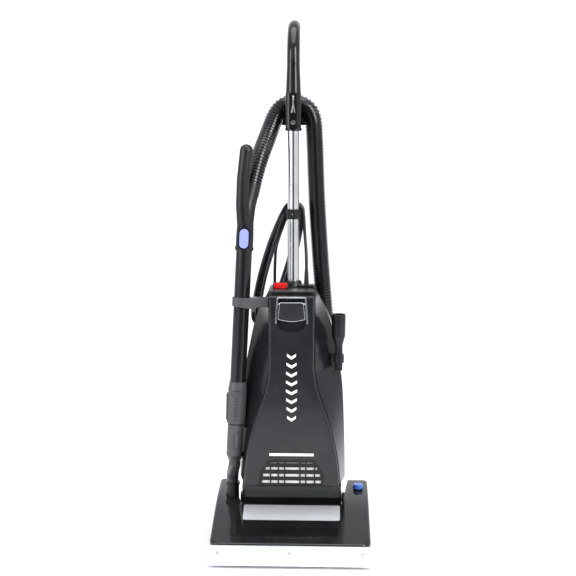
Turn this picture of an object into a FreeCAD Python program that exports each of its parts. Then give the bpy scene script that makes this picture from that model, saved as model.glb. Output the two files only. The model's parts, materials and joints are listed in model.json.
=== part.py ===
import FreeCAD
import Part
import math
import os

# Commercial upright vacuum cleaner with on-board wand, hose and crevice tool.
# Millimetres. +Z up, -Y is the front, +X is to the right of someone facing the
# machine. The origin is on the floor, in the middle of the machine's footprint.

V = FreeCAD.Vector
X, Y, Z = V(1, 0, 0), V(0, 1, 0), V(0, 0, 1)

# ---- overall sizes ---------------------------------------------------------
TOTAL_HEIGHT = 1146.0      # floor to the top of the grip
HALF_DEPTH = 190.0         # bumper front to grip tip, halved
BASE_HALF_WIDTH = 170.0    # nozzle cover
BUMPER_HALF_WIDTH = 174.0
WALL = 3.0                 # moulded covers
PLAY = 0.3                 # gap between pieces that move past each other
FIT = 0.05                 # radial clearance of a pin in its bush

# ---- nozzle base -----------------------------------------------------------
FLOOR_GAP = 10.0           # underside of the chassis tray
TRAY = 3.0                 # thickness of the chassis floor and its walls
COVER_FRONT_Y = -167.0
COVER_REAR_Y = 120.0
COVER_HEIGHTS = [(-167.0, 47.0), (-138.0, 55.0), (-78.0, 70.5), (-20.0, 85.0),
                 (50.0, 96.0), (120.0, 101.0)]
NOTCH_FRONT_Y = -13.0      # opening of the cover round the motor hood
NOTCH_HALF_FRONT = 112.0
NOTCH_RIGHT_REAR = 125.0
NOTCH_LEFT_REAR = 155.0
BUMPER_LOW, BUMPER_HIGH = 7.0, 44.0
BUMPER_DEPTH = HALF_DEPTH + COVER_FRONT_Y - PLAY

# ---- headlight -------------------------------------------------------------
LAMP_HALF = 106.0          # lens
LAMP_REAR_Y, LAMP_FRONT_Y = -21.0, -78.0
BEZEL_HALF = 116.0         # dark recess round the lens
BEZEL_FRONT_Y = -138.0
LENS_T = 2.5

# ---- brush roll and drive --------------------------------------------------
ROLL_Y, ROLL_Z = -134.0, 25.0
ROLL_R = 17.0
BRISTLE_R = 23.5
ROLL_HALF = 150.0
BELT_X, BELT_W = 126.0, 8.0
BELT_T = 2.0
ROLL_PULLEY_R = 14.0
MOTOR_PULLEY_R = 5.0

# ---- pivot between base and upright ----------------------------------------
PIVOT_Y, PIVOT_Z = 52.0, 78.0
HOOD_R = 62.0
HOOD_HALF = 108.0
EAR_T = 8.0
EAR_GAP = 2.5              # hood end to trunnion ear
PIN_R = 9.0
SHAFT_R = 4.0
MOTOR_R = 49.0

# ---- wheels ----------------------------------------------------------------
REAR_WHEEL_R = 28.0
REAR_WHEEL_W = 20.0
REAR_WHEEL_X, REAR_WHEEL_Y = 151.0, 88.0
ROLLER_R = 9.0
ROLLER_X, ROLLER_Y = 62.0, -84.0

# ---- bag housing -----------------------------------------------------------
HOUSING_TOP, HOUSING_LOW = 556.0, 140.0
HOUSING_FRONT_Y, SHOULDER_Y, HOUSING_REAR_Y = -36.0, 18.0, 76.0
DOOR_FACE_Y = -58.0
DOOR_GAP = 1.0
DOOR_LOW = 137.0
# half widths down the front panel and down the widest line of the sides
PANEL_EDGE = [(48.5, 556), (48.5, 490), (48.5, 425), (49.5, 388), (56.0, 352), (68.0, 313),
              (80.0, 278), (90.0, 240), (97.5, 203), (102.0, 168), (103.5, 140)]
SIDE_EDGE = [(53.0, 556), (70.0, 522), (80.5, 498), (88.5, 468), (95.5, 433), (103.0, 395),
             (108.5, 360), (112.5, 300), (115.0, 230), (116.5, 165), (116.8, 140)]

# ---- handle ----------------------------------------------------------------
TUBE_Y = 60.0
TUBE_R, TUBE_WALL = 12.7, 1.6
TUBE_LOW, TUBE_HIGH = 420.0, 975.0
COLLAR_LOW, COLLAR_HIGH = 908.0, 985.0
COLLAR_HALF = 17.0
FLANGE_R, FLANGE_T = 20.5, 5.0
GRIP_R = 14.0
GRIP_STRAIGHT_TOP = 1048.0

# ---- hose and hook ---------------------------------------------------------
HOSE_R = 20.0
HOOK_Z = 919.0
HOOK_R = 23.0
HOOK_Y = 97.0

# ---- wand ------------------------------------------------------------------
WAND_LEAN = 3.0            # degrees, foot outwards
WAND_X, WAND_Y, WAND_Z = -106.0, -6.0, 612.0   # a point on its axis
WAND_R, WAND_WALL = 17.3, 1.6
INNER_R = 15.2
SOCKET_R = 18.0

# ---- crevice tool ----------------------------------------------------------
TOOL_X, TOOL_Y = 100.5, -8.0
TOOL_TOP, TOOL_END = 510.0, 384.0
TOOL_CUFF_R = 15.5

# ---- cord ------------------------------------------------------------------
CORD_R = 3.5
COIL_TOP = V(-1.0, 0, 722.0)      # centres of the coil's two ends
COIL_FOOT = V(-70.0, 0, 492.0)
COIL_END_R, COIL_HALF_WIDTH = 27.0, 38.0
COIL_THICK, COIL_DEPTH = 22.0, 40.0
COIL_Y = HOUSING_REAR_Y + 1.5
HUB_R = COIL_END_R - COIL_THICK - PLAY

os.makedirs("parts", exist_ok=True)
made = []


def keep(name, shape):
    """Write one node, after a check that it is sound."""
    shape = shape.removeSplitter()
    if not shape.isValid() or shape.Volume <= 0 or not shape.Solids:
        raise RuntimeError(name + " is not a sound solid")
    shape = shape.Solids[0] if len(shape.Solids) == 1 else Part.makeCompound(shape.Solids)
    shape.exportStep("parts/" + name + ".step")
    made.append(name)
    print(f"{name}: {len(shape.Solids)} solid(s), {shape.Volume / 1000:.1f} cm3")
    return shape


def box(x0, x1, y0, y1, z0, z1):
    return Part.makeBox(x1 - x0, y1 - y0, z1 - z0, V(x0, y0, z0))


def rod(radius, start, axis, length):
    return Part.makeCylinder(radius, length, V(*start), axis)


def ring(outer, inner, start, axis, length):
    return rod(outer, start, axis, length).cut(rod(inner, start, axis, length))


def cone(r0, r1, start, axis, length):
    return Part.makeCone(r0, r1, length, V(*start), axis)


def both(shape):
    """The piece and its mirror image on the other side."""
    return Part.makeCompound([shape, shape.mirror(V(0, 0, 0), X)])


def rounded_wire(points, radius):
    """A closed outline through the points with its corners turned on arcs."""
    radii = radius if isinstance(radius, list) else [radius] * len(points)
    edges, ends = [], []
    for i, corner in enumerate(points):
        a = (points[i - 1] - corner).normalize()
        b = (points[(i + 1) % len(points)] - corner).normalize()
        half = a.getAngle(b) / 2
        if radii[i] <= 0:
            ends.append((corner, None, corner))
            continue
        back = radii[i] / math.tan(half)
        middle = corner + (a + b).normalize() * (radii[i] / math.sin(half) - radii[i])
        ends.append((corner + a * back, middle, corner + b * back))
    for i, (start, middle, end) in enumerate(ends):
        last = ends[i - 1][2]
        if last.distanceToPoint(start) > 1e-6:
            edges.append(Part.LineSegment(last, start).toShape())
        if middle is not None:
            edges.append(Part.Arc(start, middle, end).toShape())
    return Part.Wire(Part.__sortEdges__(edges))


def prism(points, radius, push):
    return Part.Face(rounded_wire(points, radius)).extrude(push)


def prism_x(yz, x0, x1, radius=0):
    return prism([V(x0, y, z) for y, z in yz], radius, V(x1 - x0, 0, 0))


def prism_y(xz, y0, y1, radius=0):
    return prism([V(x, y0, z) for x, z in xz], radius, V(0, y1 - y0, 0))


def prism_z(xy, z0, z1, radius=0):
    return prism([V(x, y, z0) for x, y in xy], radius, V(0, 0, z1 - z0))


def soften(shape, radius, wanted):
    """Round the edges for which wanted(edge's box) is true."""
    edges = [e for e in shape.Edges if wanted(e.BoundBox)]
    return shape.makeFillet(radius, edges)


def slotted_screw(head_r, head_t, shank_r, length, point, axis):
    """A screw seen from its head, whose head lies proud of the point along the axis."""
    screw = rod(head_r, point, axis, head_t).fuse(rod(shank_r, V(*point) - axis * length, axis, length))
    cross = box(-head_r, head_r, -0.5, 0.5, head_t - 0.8, head_t + 1)
    cross = cross.fuse(cross.rotated(V(0, 0, 0), Z, 90))
    turn = FreeCAD.Rotation(Z, axis)
    cross.Placement = FreeCAD.Placement(V(*point), turn)
    return screw.cut(cross)


# ======================= nozzle base ========================================
def cover_top(y):
    """Height of the cover's outside at a distance from the middle."""
    for (y0, z0), (y1, z1) in zip(COVER_HEIGHTS, COVER_HEIGHTS[1:]):
        if y <= y1:
            return z0 + (z1 - z0) * (y - y0) / (y1 - y0)
    return COVER_HEIGHTS[-1][1]


def cover_block(inset, low):
    """The cover's outer form, or its inside when inset by the wall."""
    half = BASE_HALF_WIDTH - inset
    front, rear = COVER_FRONT_Y + inset, COVER_REAR_Y - inset
    side = [V(-half, front, low)]
    tops = [V(-half, min(max(y, front), rear), z - inset) for y, z in COVER_HEIGHTS]
    side += tops + [V(-half, rear, low)]
    curve = Part.BSplineCurve()
    curve.interpolate(tops)
    edges = [curve.toShape(), Part.LineSegment(tops[-1], side[-1]).toShape(),
             Part.LineSegment(side[-1], side[0]).toShape(), Part.LineSegment(side[0], tops[0]).toShape()]
    block = Part.Face(Part.Wire(edges)).extrude(V(2 * half, 0, 0))
    plan = prism_z([(-half, front), (half, front), (half, rear), (-half, rear)], low, 130,
                   [22 - inset, 22 - inset, 10 - inset, 10 - inset])
    return block.common(plan)


notch = prism_z([(-NOTCH_HALF_FRONT, NOTCH_FRONT_Y), (NOTCH_HALF_FRONT, NOTCH_FRONT_Y),
                 (NOTCH_RIGHT_REAR, COVER_REAR_Y + 1), (-NOTCH_LEFT_REAR, COVER_REAR_Y + 1)], 0, 130)
skirt = prism_z([(-NOTCH_HALF_FRONT - WALL, NOTCH_FRONT_Y - WALL),
                      (NOTCH_HALF_FRONT + WALL, NOTCH_FRONT_Y - WALL),
                      (NOTCH_RIGHT_REAR + WALL, COVER_REAR_Y), (-NOTCH_LEFT_REAR - WALL, COVER_REAR_Y)],
                     70, 130)
EAR_R = 13.0
skirt = skirt.cut(box(-200, 200, PIVOT_Y - EAR_R - 10, PIVOT_Y + EAR_R + 10, 0, 200))
COVER_LOW = FLOOR_GAP + TRAY + 4

ELBOW_X, ELBOW_Y, ELBOW_R, ELBOW_TOP = -135.0, 26.0, 14.5, 122.0
KNOB_X, KNOB_Y, KNOB_R, KNOB_H = 147.0, 60.0, 11.5, 9.0
knob_seat = cover_top(KNOB_Y) + 1.8


def lamp_prism(half, y0, y1, drop, thickness, radius):
    """A plate that follows the cover's slope, its top 'drop' below the cover."""
    z0, z1 = cover_top(y0) - drop, cover_top(y1) - drop
    slab = prism_x([(y0, z0), (y1, z1), (y1, z1 - thickness), (y0, z0 - thickness)], -half, half)
    plan = prism_z([(-half, y0), (half, y0), (half, y1), (-half, y1)], 0, 130, radius)
    return slab.common(plan)


bezel_hole = lamp_prism(BEZEL_HALF, BEZEL_FRONT_Y, LAMP_REAR_Y, -5, 5 + 3.2, 9)
lamp_hole = lamp_prism(LAMP_HALF - 3, LAMP_FRONT_Y + 3, LAMP_REAR_Y - 3, 0, 12, 6)

outside = cover_block(0, COVER_LOW)
outside = soften(outside, 6, lambda b: b.XLength < 0.5 and abs(b.XMin) > 160 and b.YLength > 200 and b.ZMax > 60)
inside = cover_block(WALL, COVER_LOW - 1)
shelf = lamp_prism(BEZEL_HALF + 3, BEZEL_FRONT_Y - 3, LAMP_REAR_Y, 1.5, 4.2, 12)
cover = outside.cut(inside)
cover = cover.fuse(shelf).fuse(skirt.common(outside)).cut(notch)
cover = cover.cut(bezel_hole).cut(lamp_hole)
cover = cover.cut(rod(ELBOW_R + 1.5, (ELBOW_X, ELBOW_Y, 60), Z, 70))
cover = cover.cut(rod(4.5, (KNOB_X, KNOB_Y, 60), Z, 70))
keep("base_cover", cover)

# dark bezel panel in the recess, with the window for the lens
bezel = lamp_prism(BEZEL_HALF - 0.4, BEZEL_FRONT_Y + 0.4, LAMP_REAR_Y - 0.4, 1.2, 2.0, 8.6)
bezel = bezel.cut(lamp_prism(LAMP_HALF, LAMP_FRONT_Y, LAMP_REAR_Y + 2, 0, 8, 5))
keep("headlight_bezel", bezel)
keep("headlight_lens", lamp_prism(LAMP_HALF - PLAY, LAMP_FRONT_Y + PLAY, LAMP_REAR_Y - 0.6, 0.4, 2.8, 4.7))
reflector = lamp_prism(LAMP_HALF, LAMP_FRONT_Y, LAMP_REAR_Y, 8.5, 18, 6)
reflector = reflector.cut(lamp_prism(LAMP_HALF - 2, LAMP_FRONT_Y + 2, LAMP_REAR_Y - 2, 5, 18.5, 4))
bulb_y = (LAMP_FRONT_Y + LAMP_REAR_Y) / 2
bulb_z = cover_top(bulb_y) - 17
bulbs = [rod(4.0, (x, bulb_y, bulb_z), X, 26).fuse(Part.makeSphere(4.0, V(x + 26, bulb_y, bulb_z)))
         for x in (-62.0, 36.0)]
keep("headlight_lamp", Part.makeCompound([reflector] + bulbs))

# ---- chassis tray ----------------------------------------------------------
TRAY_FRONT_Y, TRAY_REAR_Y = -160.0, 116.0
TRAY_HALF = BASE_HALF_WIDTH - WALL - 1.0
MOUTH_HALF, MOUTH_FRONT, MOUTH_REAR = 154.0, -158.0, -106.0
EAR_X = HOOD_HALF + EAR_GAP
tray = box(-TRAY_HALF, TRAY_HALF, TRAY_FRONT_Y, TRAY_REAR_Y, FLOOR_GAP, FLOOR_GAP + TRAY)
tray = tray.cut(box(-MOUTH_HALF, MOUTH_HALF, MOUTH_FRONT, MOUTH_REAR, 0, 40))
end_walls = both(box(MOUTH_HALF + 1, TRAY_HALF, TRAY_FRONT_Y + 14, MOUTH_REAR, FLOOR_GAP, 42))
rear_wall = box(-MOUTH_HALF, BELT_X - 10, MOUTH_REAR, MOUTH_REAR + TRAY, FLOOR_GAP, 54)
rear_wall = rear_wall.cut(rod(ELBOW_R + FIT, (ELBOW_X, MOUTH_REAR - 1, 33), Y, 6))
ear = box(EAR_X, EAR_X + EAR_T, PIVOT_Y - EAR_R, PIVOT_Y + EAR_R, FLOOR_GAP, PIVOT_Z)
ear = ear.fuse(rod(EAR_R, (EAR_X, PIVOT_Y, PIVOT_Z), X, EAR_T)).cut(rod(PIN_R, (EAR_X - 1, PIVOT_Y, PIVOT_Z), X, 20))
tray = tray.fuse(end_walls).fuse(rear_wall).fuse(both(ear))
tray = tray.cut(both(box(REAR_WHEEL_X - 12, REAR_WHEEL_X + 12, REAR_WHEEL_Y - 30, REAR_WHEEL_Y + 30, 0, 20)))
axle_block = box(REAR_WHEEL_X - 22, REAR_WHEEL_X - 13, REAR_WHEEL_Y - 10, REAR_WHEEL_Y + 10, FLOOR_GAP,
                 REAR_WHEEL_R + 9)
tray = tray.fuse(both(axle_block))
tray = tray.cut(both(rod(4, (REAR_WHEEL_X - 30, REAR_WHEEL_Y, REAR_WHEEL_R), X, 20)))
CARRIAGE_Y, CARRIAGE_Z = ROLLER_Y + 34, 15.0     # the carriage's own pivot
tray = tray.cut(box(-ROLLER_X - 16, ROLLER_X + 16, ROLLER_Y - 16, CARRIAGE_Y + 6, 0, 20))
lug = box(ROLLER_X + 16, ROLLER_X + 21, CARRIAGE_Y - 6, CARRIAGE_Y + 6, FLOOR_GAP, CARRIAGE_Z + 6)
tray = tray.fuse(both(lug)).cut(rod(2.5 + FIT, (-200, CARRIAGE_Y, CARRIAGE_Z), X, 400))
PEDAL_X, PEDAL_Y, PEDAL_Z = -84.0, 109.0, 30.0
stand = box(PEDAL_X + 13, PEDAL_X + 17, PEDAL_Y - 6, PEDAL_Y + 5, FLOOR_GAP, PEDAL_Z + 5)
tray = tray.fuse(stand).fuse(stand.translated(V(-30, 0, 0)))
tray = tray.fuse(rod(3, (PEDAL_X - 14, PEDAL_Y, PEDAL_Z), X, 28))
tray = tray.cut(both(rod(6, (MOUTH_HALF, ROLL_Y, ROLL_Z), X, 20)))
keep("chassis_tray", tray)

sole = box(-TRAY_HALF, TRAY_HALF, TRAY_FRONT_Y - 3, MOUTH_REAR + 10, FLOOR_GAP - 2.5, FLOOR_GAP)
sole = sole.cut(box(-MOUTH_HALF + 2, MOUTH_HALF - 2, MOUTH_FRONT + 5, MOUTH_REAR - 3, 0, 20))
keep("soleplate", sole)

# ---- bumper ----------------------------------------------------------------
REAR_OF_BUMPER = COVER_FRONT_Y - PLAY


def bumper_wire(inset, z):
    half = BUMPER_HALF_WIDTH - inset
    return [V(-half, REAR_OF_BUMPER, z), V(half, REAR_OF_BUMPER, z),
            V(half, -HALF_DEPTH + 5 + inset, z), V(half - 8, -HALF_DEPTH + inset, z),
            V(-half + 8, -HALF_DEPTH + inset, z), V(-half, -HALF_DEPTH + 5 + inset, z)]


bumper = Part.Face(rounded_wire(bumper_wire(0, BUMPER_LOW), [0, 0, 4, 4, 4, 4]))
bumper = bumper.extrude(V(0, 0, BUMPER_HIGH - BUMPER_LOW))
bumper = soften(bumper, 3, lambda b: b.ZLength < 0.1 and (b.YMin < -HALF_DEPTH + 0.1 and b.XLength > 100))
groove = box(-200, 200, -HALF_DEPTH - 1, -HALF_DEPTH + 1.5, 21, 23)
bumper = bumper.cut(groove)
SCREW_XS, BUMPER_SCREW_Z = (-150.0, 0.0, 152.0), 36.0
for x in SCREW_XS:
    bumper = bumper.cut(rod(4.2, (x, -HALF_DEPTH - 1, BUMPER_SCREW_Z), Y, 3.5))
    bumper = bumper.cut(rod(2.0, (x, -HALF_DEPTH - 1, BUMPER_SCREW_Z), Y, 40))
keep("bumper", bumper)
keep("bumper_screws", Part.makeCompound([
    slotted_screw(4.0, 1.6, 1.9, 12, (x, -HALF_DEPTH + 2.5, BUMPER_SCREW_Z), V(0, -1, 0)) for x in SCREW_XS]))

# ---- brush roll, belt ------------------------------------------------------
core = rod(ROLL_R, (-ROLL_HALF, ROLL_Y, ROLL_Z), X, 2 * ROLL_HALF)
core = core.cut(ring(ROLL_R + 1, ROLL_PULLEY_R, (BELT_X - BELT_W / 2 - 1, ROLL_Y, ROLL_Z), X, BELT_W + 2))
core = core.cut(rod(5.0, (-ROLL_HALF - 1, ROLL_Y, ROLL_Z), X, 2 * ROLL_HALF + 2))
keep("brush_core", core)
BRISTLE_ROWS, BRISTLE_W = 2, 5.0
rows = []
for k in range(BRISTLE_ROWS):
    for x0, x1 in ((-ROLL_HALF + 3, BELT_X - 10), (BELT_X + 10, ROLL_HALF - 3)):
        strip = box(x0, x1, -BRISTLE_W / 2, BRISTLE_W / 2, ROLL_R, BRISTLE_R)
        strip = strip.cut(rod(ROLL_R, (x0 - 1, 0, 0), X, x1 - x0 + 2))
        strip.rotate(V(0, 0, 0), X, 90 + 180 * k)
        rows.append(strip.translated(V(0, ROLL_Y, ROLL_Z)))
keep("brush_bristles", Part.makeCompound(rows))
bearing = rod(6, (MOUTH_HALF, ROLL_Y, ROLL_Z), X, TRAY_HALF - MOUTH_HALF)
bearing = bearing.fuse(rod(5.0 - FIT, (ROLL_HALF - 14, ROLL_Y, ROLL_Z), X, 20))
keep("brush_bearings", both(bearing))

span_y, span_z = PIVOT_Y - ROLL_Y, PIVOT_Z - ROLL_Z
reach = math.hypot(span_y, span_z)


def belt_form(grow):
    """The belt's loop round both pulleys, its inner face when grow is 0."""
    lean = math.asin((ROLL_PULLEY_R - MOTOR_PULLEY_R) / reach)
    along = math.atan2(span_z, span_y)
    x0 = BELT_X - BELT_W / 2
    pts = []
    for side in (1, -1):
        a = along + side * (math.pi / 2 + lean)
        d = (math.cos(a), math.sin(a))
        pts.append([V(x0, ROLL_Y + (ROLL_PULLEY_R + grow) * d[0], ROLL_Z + (ROLL_PULLEY_R + grow) * d[1]),
                    V(x0, PIVOT_Y + (MOTOR_PULLEY_R + grow) * d[0], PIVOT_Z + (MOTOR_PULLEY_R + grow) * d[1])])
    back = V(x0, ROLL_Y - (ROLL_PULLEY_R + grow) * math.cos(along), ROLL_Z - (ROLL_PULLEY_R + grow) * math.sin(along))
    fore = V(x0, PIVOT_Y + (MOTOR_PULLEY_R + grow) * math.cos(along),
             PIVOT_Z + (MOTOR_PULLEY_R + grow) * math.sin(along))
    (a0, a1), (b0, b1) = pts
    wire = Part.Wire([Part.LineSegment(a0, a1).toShape(), Part.Arc(a1, fore, b1).toShape(),
                      Part.LineSegment(b1, b0).toShape(), Part.Arc(b0, back, a0).toShape()])
    return Part.Face(wire).extrude(V(BELT_W, 0, 0))


belt = belt_form(BELT_T + 0.1).cut(belt_form(0.1))
keep("drive_belt", belt)

# ---- rear wheels, front rollers -------------------------------------------
axle = rod(4.0, (REAR_WHEEL_X - 22, REAR_WHEEL_Y, REAR_WHEEL_R), X, 36)
axle = axle.fuse(rod(6.5, (REAR_WHEEL_X + 13, REAR_WHEEL_Y, REAR_WHEEL_R), X, 1.5))
trunnion = ring(PIN_R, SHAFT_R + 1.5, (HOOD_HALF - 6, PIVOT_Y, PIVOT_Z), X, EAR_X + EAR_T - HOOD_HALF + 6)
keep("steel_pins", Part.makeCompound([both(axle), both(trunnion)]))
for side, name in ((-1, "left"), (1, "right")):
    x0 = side * REAR_WHEEL_X - REAR_WHEEL_W / 2
    hub = ring(REAR_WHEEL_R - 5, 4.0 + FIT, (x0 + 1, REAR_WHEEL_Y, REAR_WHEEL_R), X, REAR_WHEEL_W - 2)
    for step in (0, REAR_WHEEL_W - 5):
        hub = hub.cut(ring(REAR_WHEEL_R - 8, 8.5, (x0 + step, REAR_WHEEL_Y, REAR_WHEEL_R), X, 5))
    for k in range(5):
        rib = box(x0 + 1, x0 + REAR_WHEEL_W - 1, -1.2, 1.2, 8, REAR_WHEEL_R - 7)
        rib.rotate(V(0, 0, 0), X, 72 * k)
        hub = hub.fuse(rib.translated(V(0, REAR_WHEEL_Y, REAR_WHEEL_R)))
    tyre = ring(REAR_WHEEL_R, REAR_WHEEL_R - 5, (x0, REAR_WHEEL_Y, REAR_WHEEL_R), X, REAR_WHEEL_W)
    tyre = soften(tyre, 2, lambda b: b.YLength > 2 * REAR_WHEEL_R - 1)
    keep("rear_wheel_" + name, Part.makeCompound([hub, tyre]))

arm = box(ROLLER_X - 13, ROLLER_X - 10, ROLLER_Y - 5, CARRIAGE_Y, 6, 18)
arm = arm.fuse(box(ROLLER_X + 10, ROLLER_X + 13, ROLLER_Y - 5, CARRIAGE_Y, 6, 18))
arm = arm.fuse(box(ROLLER_X - 13, ROLLER_X + 13, ROLLER_Y + 12, ROLLER_Y + 16, 8, 18))
carriage = both(arm).fuse(rod(2.5, (-ROLLER_X - 20, CARRIAGE_Y, CARRIAGE_Z), X, 2 * ROLLER_X + 40))
carriage = carriage.fuse(both(rod(2.0, (ROLLER_X - 13, ROLLER_Y, ROLLER_R), X, 26)))
keep("front_carriage", carriage)
roller = ring(ROLLER_R, 2.0 + FIT, (ROLLER_X - 9, ROLLER_Y, ROLLER_R), X, 18)
keep("front_rollers", both(soften(roller, 1.2, lambda b: b.YLength > 2 * ROLLER_R - 1)))

# ---- height knob -----------------------------------------------------------
knob = cone(KNOB_R, KNOB_R - 1.2, (KNOB_X, KNOB_Y, knob_seat + 1), Z, KNOB_H)
for k in range(16):
    bite = rod(1.1, (KNOB_X + KNOB_R, KNOB_Y, knob_seat), Z, 20)
    bite.rotate(V(KNOB_X, KNOB_Y, 0), Z, 22.5 * k)
    knob = knob.cut(bite)
knob = knob.fuse(rod(4.2, (KNOB_X, KNOB_Y, knob_seat - 26), Z, 29))
pointer = box(-0.8, 0.8, 0, KNOB_R, 0, 1.4).translated(V(KNOB_X, KNOB_Y, knob_seat + KNOB_H))
cam = rod(9, (KNOB_X + 2, KNOB_Y, knob_seat - 30), Z, 6)
keep("height_knob", knob.fuse(pointer).fuse(cam))

# ---- suction duct from the brush chamber to the lower hose ------------------
bend = 24.0
DUCT_Z = 33.0
leg0, leg1 = V(ELBOW_X, MOUTH_REAR, DUCT_Z), V(ELBOW_X, ELBOW_Y - bend, DUCT_Z)
leg2, leg3 = V(ELBOW_X, ELBOW_Y, DUCT_Z + bend), V(ELBOW_X, ELBOW_Y, ELBOW_TOP)
mid = V(ELBOW_X, ELBOW_Y - bend * (1 - math.sin(math.pi / 4)), DUCT_Z + bend * (1 - math.cos(math.pi / 4)))
duct_path = Part.Wire([Part.LineSegment(leg0, leg1).toShape(), Part.Arc(leg1, mid, leg2).toShape(),
                       Part.LineSegment(leg2, leg3).toShape()])


def pipe(path, radius, start, axis):
    circle = Part.Wire([Part.Circle(start, axis, radius).toShape()])
    return path.makePipeShell([circle], True, True)


duct = pipe(duct_path, ELBOW_R, leg0, Y).cut(pipe(duct_path, ELBOW_R - 2, leg0, Y))
duct = duct.fuse(ring(ELBOW_R + 2, ELBOW_R - 0.5, (ELBOW_X, ELBOW_Y, ELBOW_TOP - 5), Z, 5))
keep("nozzle_elbow", duct)

# ---- handle release pedal --------------------------------------------------
pedal = box(PEDAL_X - 17, PEDAL_X + 17, PEDAL_Y + 8, PEDAL_Y + 40, PEDAL_Z + 6, PEDAL_Z + 11)
pedal = soften(pedal, 4, lambda b: b.ZLength > 4 and b.YMin > PEDAL_Y + 30)
pedal = pedal.fuse(box(PEDAL_X - 8, PEDAL_X + 8, PEDAL_Y - 6, PEDAL_Y + 10, PEDAL_Z - 6, PEDAL_Z + 11))
pedal = pedal.fuse(rod(7, (PEDAL_X - 12, PEDAL_Y, PEDAL_Z), X, 24))
keep("release_pedal", pedal.cut(rod(3 + FIT, (PEDAL_X - 20, PEDAL_Y, PEDAL_Z), X, 40)))


# ======================= upright ============================================
def outline(edge, y, inset, low=None, high=None):
    """A symmetric closed outline at a depth y from a list of half widths."""
    pts = [(half - inset, z) for half, z in edge]
    pts[0] = (pts[0][0], (high or HOUSING_TOP) - inset)
    pts[-1] = (pts[-1][0], (low or HOUSING_LOW) + inset)
    right = Part.BSplineCurve()
    right.interpolate([V(x, y, z) for x, z in pts])
    left = Part.BSplineCurve()
    left.interpolate([V(-x, y, z) for x, z in reversed(pts)])
    top = Part.LineSegment(V(-pts[0][0], y, pts[0][1]), V(pts[0][0], y, pts[0][1]))
    low_line = Part.LineSegment(V(pts[-1][0], y, pts[-1][1]), V(-pts[-1][0], y, pts[-1][1]))
    return Part.Wire([top.toShape(), right.toShape(), low_line.toShape(), left.toShape()])


PANEL_LIP = 2.2      # the housing stands this much wider than the door


def housing_form(inset, front_y, rear_y):
    """The bag housing: a front panel line that slants back to wider sides."""
    front = outline(PANEL_EDGE, HOUSING_FRONT_Y, inset - PANEL_LIP, HOUSING_LOW + PANEL_LIP,
                    HOUSING_TOP - PANEL_LIP)
    side = outline(SIDE_EDGE, SHOULDER_Y, inset)
    form = Part.makeLoft([front, side], True, True)
    form = form.fuse(Part.Face(side).extrude(V(0, rear_y - SHOULDER_Y, 0)))
    if front_y < HOUSING_FRONT_Y:
        form = form.fuse(Part.Face(front).extrude(V(0, front_y - HOUSING_FRONT_Y, 0)))
    return form


hood_clear = rod(HOOD_R + PLAY, (-200, PIVOT_Y, PIVOT_Z), X, 400)
housing = housing_form(0, HOUSING_FRONT_Y, HOUSING_REAR_Y)
housing = soften(housing, 7, lambda b: b.YLength < 0.1 and abs(b.YMin - HOUSING_REAR_Y) < 0.1)
housing = housing.cut(housing_form(WALL, HOUSING_FRONT_Y - 5, HOUSING_REAR_Y - WALL))
housing = housing.cut(hood_clear).cut(rod(22, (0, 30, 130), Z, 20))
housing = housing.cut(rod(TUBE_R + FIT, (0, TUBE_Y, HOUSING_TOP - 10), Z, 20))

# bag inlet in the rear wall, and the hose port that stands on it
PORT_X, PORT_Z = 58.0, 296.0
PORT_R = 19.0
housing = housing.cut(rod(PORT_R, (PORT_X, HOUSING_REAR_Y - 10, PORT_Z), Y, 20))
# seat of the handle tube on the inside of the rear wall
seat = box(-20, 20, TUBE_Y - 14, HOUSING_REAR_Y - WALL, TUBE_LOW - 6, TUBE_LOW + 24)
seat = seat.fuse(box(-20, 20, TUBE_Y - 14, HOUSING_REAR_Y - WALL, TUBE_LOW + 74, TUBE_LOW + 98))
housing = housing.fuse(seat.cut(rod(TUBE_R + FIT, (0, TUBE_Y, TUBE_LOW), Z, 200)))
SCREW_SPOTS = [(-96, 400), (88, 440), (-100, 180), (100, 180)]
for x, z in SCREW_SPOTS:
    housing = housing.cut(rod(2.0, (x, HOUSING_REAR_Y - 10, z), Y, 20))
# lugs for the door hinge
HINGE_Y, HINGE_Z, HINGE_X = -52.0, 141.5, 84.0
hinge_lug = rod(3.5, (HINGE_X - 9, HINGE_Y, HINGE_Z), X, 4.5)
hinge_lug = hinge_lug.fuse(box(HINGE_X - 9, HINGE_X - 4.5, HINGE_Y, HOUSING_FRONT_Y - 0.5, HINGE_Z - 3.5,
                               HINGE_Z + 3.5))
hinge_lug = hinge_lug.fuse(box(HINGE_X - 9, HINGE_X - 4.5, HOUSING_FRONT_Y - 1, HOUSING_FRONT_Y + 3,
                               HOUSING_LOW + PLAY, HINGE_Z + 3.5))
hinge_lug = hinge_lug.fuse(rod(2.0, (HINGE_X - 10, HINGE_Y, HINGE_Z), X, 12))
housing = housing.fuse(both(hinge_lug))
keep("rear_housing", housing)

# ---- motor hood ------------------------------------------------------------
chin = [(HOUSING_FRONT_Y - 9, HOUSING_LOW - 4.5), (HOUSING_FRONT_Y - 8, HOUSING_LOW - 14), (-33, 112), (-19, 96),
        (-8, 80), (PIVOT_Y, PIVOT_Z), (HOUSING_REAR_Y - 2, HOUSING_LOW - PLAY),
        (HOUSING_FRONT_Y + 1, HOUSING_LOW - PLAY), (HOUSING_FRONT_Y + 1, HOUSING_LOW - 4.5)]
hood = rod(HOOD_R, (-HOOD_HALF, PIVOT_Y, PIVOT_Z), X, 2 * HOOD_HALF)
hood = hood.fuse(prism_x(chin, -HOOD_HALF, HOOD_HALF))
hood = hood.common(box(-200, 200, -60, 200, 0, HOUSING_LOW - PLAY))
hollow_chin = [(-40, HOUSING_LOW - 8), (-37, 128), (-29, 114), (-14, 98), (-5, 84), (PIVOT_Y, PIVOT_Z),
               (HOUSING_REAR_Y - 6, HOUSING_LOW - 8)]
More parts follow.
